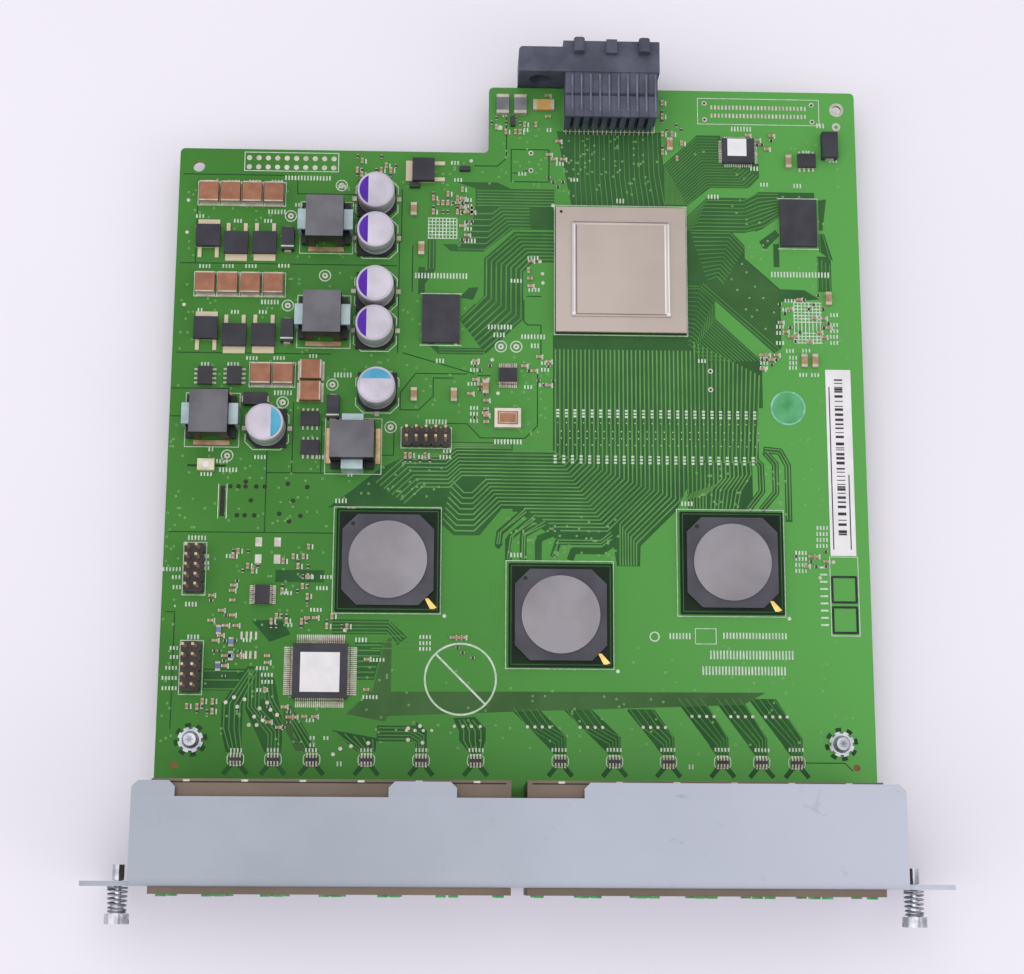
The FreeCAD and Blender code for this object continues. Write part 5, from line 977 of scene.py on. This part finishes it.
fine_lead = bent_strip([(0.0, 1.1), (0.4, 1.0), (0.7, 0.42), (1.5, 0.36)], 0.32, 0.12)
fine_places = np.concatenate([[(-3.0 + (n - 4.5) * LEAD_PITCH, -82.0 + REAR_EDGE + side * 1.9, BOARD_TOP)
                               for side in (-1, 1) for n in range(10)],
                              [(-66.1 + side * 1.9, -141.4 + REAR_EDGE + (n - 4.5) * LEAD_PITCH, BOARD_TOP)
                               for side in (-1, 1) for n in range(10)]])
fine_turns = np.repeat((180, 0, 90, -90), 10)
build("fine_leads", *copies(fine_lead, fine_places, fine_turns), lead_tin, "bright_steel")

leaded = finish("small_chip_epoxy", (44, 42, 46), (58, 55, 60), 0.5, cloud=160, grain=3600, lift=0.3)
tint_by_side(leaded, 11.16, 11.11, tone(206, 202, 190), axis="Z")
dress(leaded, "small_outline_chips")
tabbed = finish("transistor_epoxy", (40, 40, 47), (54, 54, 62), 0.5, cloud=160, grain=3600, lift=0.3)
tint_by_side(tabbed, 11.36, 11.31, tone(216, 200, 172), axis="Z")
dress(tabbed, "power_transistors")

paper = finish("blank_label", (232, 228, 228), (242, 239, 240), 0.7, cloud=200, grain=1800)
label_height = np.array(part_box("controller_chip")[1])[2] * 1000 - BOARD_TOP + 0.03
lay("controller_label", [box_of(-55.85, -45.75, -166.5, -156.3)], label_height, paper, "lamp_resin")
logic_height = np.array(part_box("logic_chip")[1])[2] * 1000 - BOARD_TOP
lay("logic_label", [box_of(56.7, 61.9, -19.3, -14.3)], logic_height + 0.03, paper, "lamp_resin")
logic_steps = np.arange(13) - 6
logic_pads = np.concatenate([[upright(x, y, 0.45) for y in (-21.6, -13.8)
                              for x in 59.7 + logic_steps * 0.6],
                             [[(x - 0.45, y), (x + 0.45, y)] for x in (54.9, 64.5)
                              for y in -17.7 + logic_steps * 0.5]])
lay("logic_pads", lines(logic_pads, 0.3), LAYER["lead pads"], tin, "bright_steel")
memory_marks = np.concatenate([frames([(x - 5.5, x + 5.5, y - 7.2, y + 7.2)], 0.25)[[0, 2]]
                               for x, y in ((-21.0, -66.6), (75.7, -38.2))])
lay("memory_marks", memory_marks, LAYER["small marks"], ink)


# ---- Oscillator and status lamp --------------------------------------------------------------------------
# The oscillator is a ceramic tub with a pale rim round a coppery lid. The lamp is a milky resin block on
# two tinned ends.

lidded = finish("oscillator_rim", (196, 188, 172), (214, 207, 192), 0.35, metallic=0.2, cloud=200,
                grain=2500, lift=0.15)
dress(lidded, "oscillator")
OSC_LOW, OSC_HIGH = (np.array(corner) * 1000 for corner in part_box("oscillator"))
coppery = finish("coppery_lid", (134, 92, 66), (158, 112, 84), 0.4, metallic=0.4, cloud=200, grain=2500,
                 lift=0.15)
lay("oscillator_panel",
    [box_of(OSC_LOW[0] + 0.8, OSC_HIGH[0] - 0.8, OSC_LOW[1] + 0.8 - REAR_EDGE,
            OSC_HIGH[1] - 0.8 - REAR_EDGE)],
    OSC_HIGH[2] - BOARD_TOP + 0.01, coppery, "oscillator_lid")
lay("oscillator_frame",
    frames([(OSC_LOW[0] + 1.3, OSC_HIGH[0] - 1.3, OSC_LOW[1] + 1.3 - REAR_EDGE,
             OSC_HIGH[1] - 1.3 - REAR_EDGE)],
           0.12),
    OSC_HIGH[2] - BOARD_TOP + 0.02, lidded, "oscillator_lid")
resin = finish("milky_resin", (206, 198, 160), (232, 226, 196), 0.3, grain=2000, lift=0.05)
dress(resin, "status_lamp")
lay("lamp_lens", rounds([(-81.9, -107.3)], 0.0, 0.85, 20),
    np.array(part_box("status_lamp")[1])[2] * 1000 - BOARD_TOP + 0.01, paper, "lamp_resin")
# Painted shade lies on the pads at the lamp's two ends.
lay("lamp_pads", lines([[(-86.8, -107.3), (-84.2, -107.3)], [(-79.6, -107.3), (-77.0, -107.3)]], 0.5),
    LAYER["lead pads"], painted_shade, "bright_steel")


# ---- Ceramic blocks, diodes and arrays -------------------------------------------------------------------
# Fired brown blocks with tinned ends lie in rows beside black moulded diodes, and a row of resistor arrays
# with four tinned feet a side stands behind the jacks. All are soldered to bare pads.

fired = finish("fired_ceramic", (148, 96, 70), (168, 114, 86), 0.5, lift=0.2)
dress(fired, "ceramic_capacitors")
LYING_BLOCKS = np.array([(-55.2, -81.3), (-55.3, -87.2)])
DIODES = np.array([(-62.3, -45.0), (-61.8, -70.6), (-49.1, -91.4)])
LYING_DIODE = np.array([(-69.6, -89.4)])
ARRAY_ROW = -183.6
ARRAYS = np.array([(x, ARRAY_ROW) for x in ARRAY_MIDDLES])


def stood(places, lift=0.0):
    """Gives flat places on the board their height, and measures their depth in the card's own frame."""
    places = np.asarray(places, float)
    return np.column_stack([places[:, 0], places[:, 1] + REAR_EDGE, np.full(len(places), BOARD_TOP + lift)])


def both_ends(shape, places, across, back, turn=0):
    """Copies of a shape to both sides of each place, so far across and back from it."""
    places = np.atleast_2d(places)
    return [copies(shape, stood(places + (side * across, side * back)), turn) for side in (-1, 1)]


tinned_end = finish("tinned_end", (168, 160, 144), (194, 186, 168), 0.4, metallic=0.2, cloud=500,
                    grain=3000, lift=0.2)
block_end = block(5.14, 0.5, 0.0, 2.44, 0.06)
ends = both_ends(block_end, UPRIGHT_BLOCKS, 0, 2.64) + both_ends(block_end, LYING_BLOCKS, 2.64, 0, 90)
build("ceramic_ends", *joined(*ends), tinned_end, "tinned_copper")
ceramic_pads = [box_of(x - 2.6, x + 2.6, y - 3.5, y + 3.5) for x, y in UPRIGHT_BLOCKS]
ceramic_pads += [box_of(x - 3.5, x + 3.5, y - 2.6, y + 2.6) for x, y in LYING_BLOCKS]
lay("ceramic_pads", ceramic_pads, LAYER["soldered pads"], tin, "bright_steel")

diode_end = block(1.9, 0.7, 0.0, 1.1, 0.1)
ends = both_ends(diode_end, DIODES, 0, 3.3) + both_ends(diode_end, LYING_DIODE, 3.3, 0, 90)
ends += both_ends(block(2.4, 0.8, 0.0, 1.4, 0.1), (84.7, -16.1), 0, 3.5)
build("diode_ends", *joined(*ends), tinned_end, "tinned_copper")
BAND_HEIGHT = 2.22
lay("diode_bands", lines([[(x - 1.6, y - 2.3), (x + 1.6, y - 2.3)] for x, y in DIODES], 0.4), BAND_HEIGHT,
    ink, "diode_moulding")

array_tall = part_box("resistor_arrays")[1][2] * 1000 - BOARD_TOP
foot = block(0.48, 0.9, 0.0, array_tall + 0.03, 0.04)
feet = np.stack(np.meshgrid((np.arange(4) - 1.5) * 0.8, (-0.85, 0.85)), -1).reshape(1, 8, 1, 2)
foot_places = (ARRAYS[:, None, None] + feet).reshape(-1, 2)
build("array_feet", *copies(foot, stood(foot_places)), tinned_end, "tinned_copper")
lay("array_pads",
    lines([upright(x, y, 0.3)
           for x, y in foot_places + np.sign(foot_places - ARRAYS.repeat(8, 0)) * (0.0, 0.45)],
          0.5),
    LAYER["soldered pads"], tin, "bright_steel")
ends_of_arrays = [
    [(x + side * 1.75, y + 1.3), (x + side * 2.1, y + 0.7), (x + side * 2.1, y - 0.7),
     (x + side * 1.75, y - 1.3)]
    for x, y in ARRAYS for side in (-1, 1)]
lay("array_brackets", lines(ends_of_arrays, 0.24), LAYER["part marks"], ink)

bead = finish("bead_ferrite", (104, 106, 110), (126, 128, 132), 0.45, lift=0.2)
dress(bead, "ferrite_beads")
glaze = finish("fuse_glaze", (196, 150, 74), (214, 172, 96), 0.3)
dress(glaze, "fuse")
bead_end = block(3.5, 1.0, 0.0, 1.66, 0.06)
ends = both_ends(bead_end, (-4.8, -5.3), 0, 2.3) + both_ends(bead_end, (0.0, -5.3), 0, 2.3)
fuse_tall = np.array(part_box("fuse")[1])[2] * 1000 - BOARD_TOP
ends += both_ends(block(3.1, 1.1, 0.0, fuse_tall + 0.04, 0.06), (6.4, -5.2), 2.4, 0, 90)
build("bead_and_fuse_ends", *joined(*ends), tinned_end, "tinned_copper")


# ---- Chokes ----------------------------------------------------------------------------------------------
# A flat copper strap runs through a ground ferrite block that stands on a black foot. The block's top is
# bare grey ferrite, its sides are sprayed black, and the strap's tinned ends show at both sides.

ferrite = finish("ground_ferrite", (92, 90, 95), (112, 110, 115), 0.45, cloud=120, lift=0.25)
tint_walls(ferrite, tone(26, 26, 30))
tint_by_side(ferrite, 14.2, 14.0, tone(30, 32, 32), axis="Z")
dress(ferrite, "inductor_core_1", "inductor_core_2", "inductor_core_3", "inductor_core_4")
strap = finish("tinned_strap", (156, 176, 178), (178, 198, 198), 0.4, metallic=0.2, cloud=200, lift=0.2)
dress(strap, "inductor_strap_1", "inductor_strap_2", "inductor_strap_3", "inductor_strap_4")
CHOKES = np.array([(-52.1, -41.0), (-52.2, -67.4), (-80.8, -94.7), (-43.6, -101.7)])
copper_foot = finish("coppery_foot", (168, 132, 98), (204, 174, 140), 0.35, metallic=0.5, cloud=260,
                     lift=0.2)
foot_strip = block(9.6, 1.3, 0.0, 0.5, 0.05)
feet = both_ends(foot_strip, CHOKES[:3], 0, 6.5) + both_ends(foot_strip, CHOKES[3:], 6.5, 0, 90)
build("choke_feet", *joined(*feet), copper_foot, "tinned_copper")


# ---- Electrolytic cans -----------------------------------------------------------------------------------
# Drawn aluminium cans with a rolled upper edge and a crimp over the rubber seal sit on black bases. A
# printed coloured segment on the top marks one pole, and a tinned lead comes out at each side of the base.
# The pin headers stand among them.

CAN_SIDES = (180, 180, 180, 180, 90, 0)
CAN_FACETS = 48
can = finish("drawn_aluminium", (178, 172, 182), (200, 194, 204), 0.4, metallic=0.3, cloud=120)
CAN_PROFILE = np.array([(4.55, 0.0), (4.9, 0.15), (5.0, 0.5), (5.0, 1.1), (4.72, 1.45), (4.72, 1.75),
                        (5.0, 2.1), (5.0, 6.55), (4.94, 6.85), (4.78, 7.04), (4.6, 7.08), (4.46, 6.98),
                        (4.36, 6.88), (0.001, 6.9)])


def turned(profile, sides):
    """Turns a profile of radius and height about the upright axis: one ring of points for each step."""
    angle = np.arange(sides) * 2 * np.pi / sides
    radius, height = profile.T
    points = np.stack([radius[:, None] * np.cos(angle), radius[:, None] * np.sin(angle),
                       np.broadcast_to(height[:, None], (len(profile), sides))], axis=-1).reshape(-1, 3)
    return points, ring_walls(len(profile), sides)


can_floor = np.array(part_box("can_capacitor_1")[0])[2] * 1000 - BOARD_TOP
cans = build("can_shells", *copies(turned(CAN_PROFILE, CAN_FACETS), stood(CAN_PLACES, can_floor)), can,
             "can_aluminium")
facets = np.arange(len(cans.data.polygons)) % (CAN_FACETS * (len(CAN_PROFILE) - 1))
cans.data.polygons.foreach_set("use_smooth", facets < CAN_FACETS * (len(CAN_PROFILE) - 2))
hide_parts(*[f"can_capacitor_{number}" for number in range(1, 7)])


def segment(side, chord, radius=4.34, steps=16):
    """Patches of the part of a disc beyond a chord: its arc is joined straight down to the chord."""
    half = np.arccos(chord / radius)
    spread = np.linspace(-half, half, steps + 1)
    arc = np.stack([np.cos(spread), np.sin(spread)], -1) * radius
    foot_line = np.stack([np.full(steps + 1, chord), arc[:, 1]], -1)
    patch = np.stack([foot_line[:-1], arc[:-1], arc[1:], foot_line[1:]], axis=1)
    turn = np.radians(side)
    return patch @ np.array([(np.cos(turn), np.sin(turn)), (-np.sin(turn), np.cos(turn))])


top_height = can_floor + 6.93
violet = finish("violet_print", (70, 14, 150), (88, 28, 172), 0.5, cloud=200)
blue = finish("blue_print", (72, 158, 192), (96, 184, 214), 0.5, cloud=200)
lay("violet_marks",
    np.concatenate([place + segment(side, 2.0) for place, side in zip(CAN_PLACES[:4], CAN_SIDES[:4])]),
    top_height, violet, "can_aluminium")
lay("blue_marks",
    np.concatenate([place + segment(side, 1.7) for place, side in zip(CAN_PLACES[4:], CAN_SIDES[4:])]),
    top_height, blue, "can_aluminium")
can_lead = block(1.3, 1.3, 0.0, 0.35, 0.05)
lead_offsets = np.array([(6.0, 0.0)] * 4 + [(0.0, 6.0), (6.0, 0.0)])
build("can_leads",
      *copies(can_lead, stood(np.concatenate([CAN_PLACES + lead_offsets, CAN_PLACES - lead_offsets]))),
      tinned_end, "tinned_copper")

header_gold = finish("header_gold", (176, 150, 122), (206, 182, 152), 0.3, metallic=0.3, cloud=600)
dress(header_gold, "header_pins")
header_resin = finish("header_resin", (56, 50, 48), (70, 64, 61), 0.5, cloud=200, lift=0.2)
dress(header_resin, "header_strips")


# ---- Chip resistors and capacitors -----------------------------------------------------------------------
# Tiny fired blocks with tinned ends, soldered flat in clusters round the chips they serve. Capacitors are
# tan and resistors nearly black.


def end_pairs(places, turns, length, width, height):
    """The middle blocks and the two end caps of like chip parts; the caps are a little larger."""
    places = np.atleast_2d(np.asarray(places, float))
    angle = np.radians(np.broadcast_to(turns, len(places)))
    along = np.stack([-np.sin(angle), np.cos(angle)], -1) * length * 0.39
    middles = copies(block(width, length * 0.62, 0.02, height), stood(places), turns)
    cap = block(width + 0.06, length * 0.24, 0.0, height + 0.04, 0.03)
    return middles, joined(copies(cap, stood(places + along), turns),
                           copies(cap, stood(places - along), turns))


LONG_PLACES = np.reshape([
    -28.7, -35.8,  -26.5, -46.9,  -27.9, -87.5,  -17.3, -87.5,  -8.9, -85.2,  40.9, -16,  73.4, -20.5,
    83.3, -59.5,  76.3, -76.9,  79.2, -76.9], (-1, 2))
SMALL_TAN = np.reshape([
    -73.8, -139, 90,  -73.8, -142.9, 90,  -73.8, -146.8, 90,  -54.5, -147.3, 90,  -52, -172.7, 90,
    -64.5, -157.2, 90,  -64.5, -159, 90,  -64.8, -166, 0,  -38.9, -157.9, 90,  -38.9, -165.7, 90,
    7.5, -2.3, 90,  7.6, -8.4, 90,  1.2, -10.8, 0,  4.3, -10.8, 0,  -52.5, -147.3, 90,  -54.5, -172.7, 90,
    -8.7, -88.9, 90,  -8.7, -91.2, 90,  -8.7, -93, 90,  -8.7, -94.7, 90,  3, -50, 90,  2.8, -54.9, 90,
    2.9, -57, 90,  2.4, -52.6, 0,  -43.9, -118.6, 90,  42.9, -20, 0], (-1, 3))
BLUE_PARTS = np.reshape([
    -77.1, -150.6,  -73.8, -153.7,  -73.8, -157.3,  -77, -160], (-1, 2))
# How many are drawn in each area, its four sides, and the turn of the parts in it.
CLUSTER_AREAS = (
    (26, -25, -13, -37, -30, 0), (16, -17, -11, -45, -33, 90), (26, 70, 84, -73, -59, 90),
    (12, 73, 81, -134.5, -128.5, 90), (26, -80, -72, -166, -136, 90), (18, -62, -54, -148, -128, 0),
    (14, -66, -44, -150, -147, 0), (12, -66, -56, -176, -170, 90), (16, -46, -34, -27, -21, 0),
    (12, -13, -8, -97, -77, 90), (12, 1, 9, -86, -76, 90), (14, 38, 46, -20, -4, 0),
    (10, 64, 70, -79, -75, 90), (10, 8, 12, -30, -14, 90), (8, -30, -16, -106, -104, 0),
    (8, -74, -68, -136, -128, 0), (12, 60, 72, -20, -12, 90), (10, -8, 4, -14, -8, 0),
    (6, -18, -12, -158, -152, 90), (10, -86, -76, -172, -168, 0))
clusters = []
for count, left, right, front, back, turn in CLUSTER_AREAS:
    found = scattered(count, left, right, front, back, pitch=1.3)
    clusters.append(np.column_stack([found, np.full(len(found), turn)]))
CLUSTERS = np.concatenate(clusters)
tan = finish("tan_ceramic", (160, 124, 96), (182, 146, 116), 0.5, cloud=600, lift=0.2)
black_glass = finish("resistor_glaze", (34, 34, 38), (56, 56, 62), 0.4, cloud=600, lift=0.2)
blue_glass = finish("blue_resistor", (84, 104, 150), (110, 130, 172), 0.4, cloud=600, lift=0.2)
odd = np.arange(len(CLUSTERS)) % 2 == 1
long_middles, long_ends = end_pairs(LONG_PLACES, 0, 3.6, 1.6, 1.1)
tan_places = np.concatenate([SMALL_TAN, CLUSTERS[~odd]])
tan_middles, tan_ends = end_pairs(tan_places[:, :2], tan_places[:, 2], 1.5, 0.75, 0.6)
black_middles, black_ends = end_pairs(CLUSTERS[odd, :2], CLUSTERS[odd, 2], 1.1, 0.6, 0.35)
blue_middles, blue_ends = end_pairs(BLUE_PARTS, 0, 2.4, 1.3, 0.6)
build("tan_capacitors", *joined(long_middles, tan_middles), tan, "tan_ceramic")
build("black_resistors", *black_middles, black_glass, "chip_moulding")
build("blue_resistors", *blue_middles, blue_glass, "chip_moulding")
build("chip_part_ends", *joined(long_ends, tan_ends, black_ends, blue_ends), tinned_end, "tinned_copper")
marks = np.concatenate([SMALL_TAN, CLUSTERS])[::2]
lay("part_marks", lines(np.stack([marks[:, :2] + (1.0, -0.6), marks[:, :2] + (1.0, 0.6)], 1), 0.4),
    LAYER["part marks"], ink)
lattices = [[(x, -43.9), (x, -38.2)] for x in np.arange(-24.6, -17.0, 0.95)]
lattices += [[(-24.8, y), (-17.2, y)] for y in np.arange(-43.8, -38.0, 0.95)]
lattices += [[(x, -72.0), (x, -60.6)] for x in np.arange(74.0, 81.5, 1.0)]
lattices += [[(73.8, y), (81.4, y)]
             for y in (-71.8, -70.9, -70, -69.1, -66, -65.1, -64.2, -63.3, -62.4, -61.5, -60.6)]
lay("ink_lattices", lines(lattices, 0.28), LAYER["lattices"], ink)
small_transistor = block(1.4, 2.9, 0.1, 1.1, 0.1)
build("small_transistors",
      *copies(small_transistor, stood([(-2.0, -10.0), (-28.5, -29.0), (-15.0, -24.0)]), (0, 90, 90)), epoxy,
      "chip_moulding")


# ---- Labels ----------------------------------------------------------------------------------------------
# A white paper strip with plain bars of different thickness is stuck along the right side, with no words.

lay("bar_label", [box_of(81.9, 88.7, -129.7, -79.2)], LAYER["paper"], paper, "lamp_resin")
starts = np.cumsum(seed.choice((0.55, 0.8, 1.1, 1.4), 60))
starts = starts[starts < 43.0]
thick = seed.choice((0.25, 0.45, 0.7), len(starts))
bars_ink = finish("label_ink", (44, 42, 48), (66, 64, 70), 0.7, cloud=500, lift=0.05)
lay("label_bars",
    [box_of(84.2, 86.4, -125.0 + start, -125.0 + start + width) for start, width in zip(starts, thick)],
    LAYER["paper ink"], bars_ink, "diode_moulding")
lay("label_lines", lines([[(82.8, -128.0), (82.8, -84.0)], [(87.4, -128.0), (87.4, -108.0)]], 0.3),
    LAYER["paper ink"], bars_ink, "diode_moulding")


# ---- Studio ----------------------------------------------------------------------------------------------
# The card lies on a pale table under one wide soft lamp overhead and two weaker ones at the sides, and the
# camera looks straight down at it from half a metre. Far out the table fades into the tone of the room.

TABLE = 3.0
TABLE_TOP = -0.00002
ROOM_TONE = tone(236, 232, 241)
CAMERA_PLACE = (-0.01618, -0.106895, 0.49694)
CAMERA_TURN = (11.864, -1.756, 0.268)

floor_mesh = bpy.data.meshes.new("table_top")
floor_mesh.from_pydata([(x, y, TABLE_TOP)
                        for x, y in ((-TABLE, -TABLE), (TABLE, -TABLE), (TABLE, TABLE), (-TABLE, TABLE))],
                       [], [(0, 1, 2, 3)])
pale_table = finish("pale_table", (246, 240, 248), (249, 243, 251), 0.8, cloud=4, grain=300, lift=0.02)
table_tree = pale_table.node_tree
way_out = add_node(table_tree, "VectorMath", add_node(table_tree, "TexCoord").outputs["Object"])
way_out.operation = "LENGTH"
far_share = add_node(table_tree, "MapRange", way_out.outputs["Value"], From_Min=0.45, From_Max=1.3)
far_share.interpolation_type = "SMOOTHSTEP"
far_glow = add_node(table_tree, "Emission", Color=ROOM_TONE).outputs["Emission"]
near_table = table_tree.nodes["Principled BSDF"].outputs["BSDF"]
table_mix = add_node(table_tree, "MixShader", far_share.outputs["Result"], near_table, far_glow)
feed(table_tree.nodes["Material Output"], table_mix.outputs["Shader"])
floor_mesh.materials.append(pale_table)
table_top = bpy.data.objects.new("table_top", floor_mesh)
bpy.context.collection.objects.link(table_top)


def hang_lamp(name, place, size, power):
    """A square soft lamp at a place in metres that faces the middle of the card."""
    lamp = bpy.data.lights.new(name, "AREA")
    lamp.size = size
    lamp.energy = power
    held = bpy.data.objects.new(name, lamp)
    held.location = place
    held.rotation_euler = (-Vector(place)).to_track_quat("-Z", "Y").to_euler()
    bpy.context.collection.objects.link(held)


hang_lamp("overhead_lamp", (-0.15, 0.1, 1.4), 1.5, 8.0)
hang_lamp("left_lamp", (-1.3, -0.5, 0.9), 0.9, 2.5)
hang_lamp("right_lamp", (1.2, -0.6, 0.8), 0.9, 3.0)

sky = bpy.data.worlds.new("pale_room")
sky.use_nodes = True
bpy.context.scene.world = sky
sky_tree = sky.node_tree
room_light = feed(sky_tree.nodes["Background"], Color=(0.93, 0.95, 1.0, 1.0), Strength=0.6)
seen_room = add_node(sky_tree, "Background", Color=ROOM_TONE, Strength=1.0)
ray = add_node(sky_tree, "LightPath")
seen = ray.outputs["Is Camera Ray"]
for other_ray in ("Is Glossy Ray", "Is Transmission Ray"):
    either = add_node(sky_tree, "Math", seen, ray.outputs[other_ray])
    either.operation = "MAXIMUM"
    seen = either.outputs["Value"]
room_mix = add_node(sky_tree, "MixShader", seen, room_light.outputs["Background"],
                    seen_room.outputs["Background"])
feed(sky_tree.nodes["World Output"], room_mix.outputs["Shader"])

lens = bpy.data.cameras.new("camera")
lens.sensor_width = 36.0
lens.lens = 66.48
lens.clip_start = 0.01
lens.clip_end = 20.0
camera = bpy.data.objects.new("camera", lens)
camera.location = CAMERA_PLACE
camera.rotation_euler = [radians(turn) for turn in CAMERA_TURN]
bpy.context.collection.objects.link(camera)
bpy.context.scene.camera = camera
bpy.context.scene.view_settings.view_transform = "Standard"
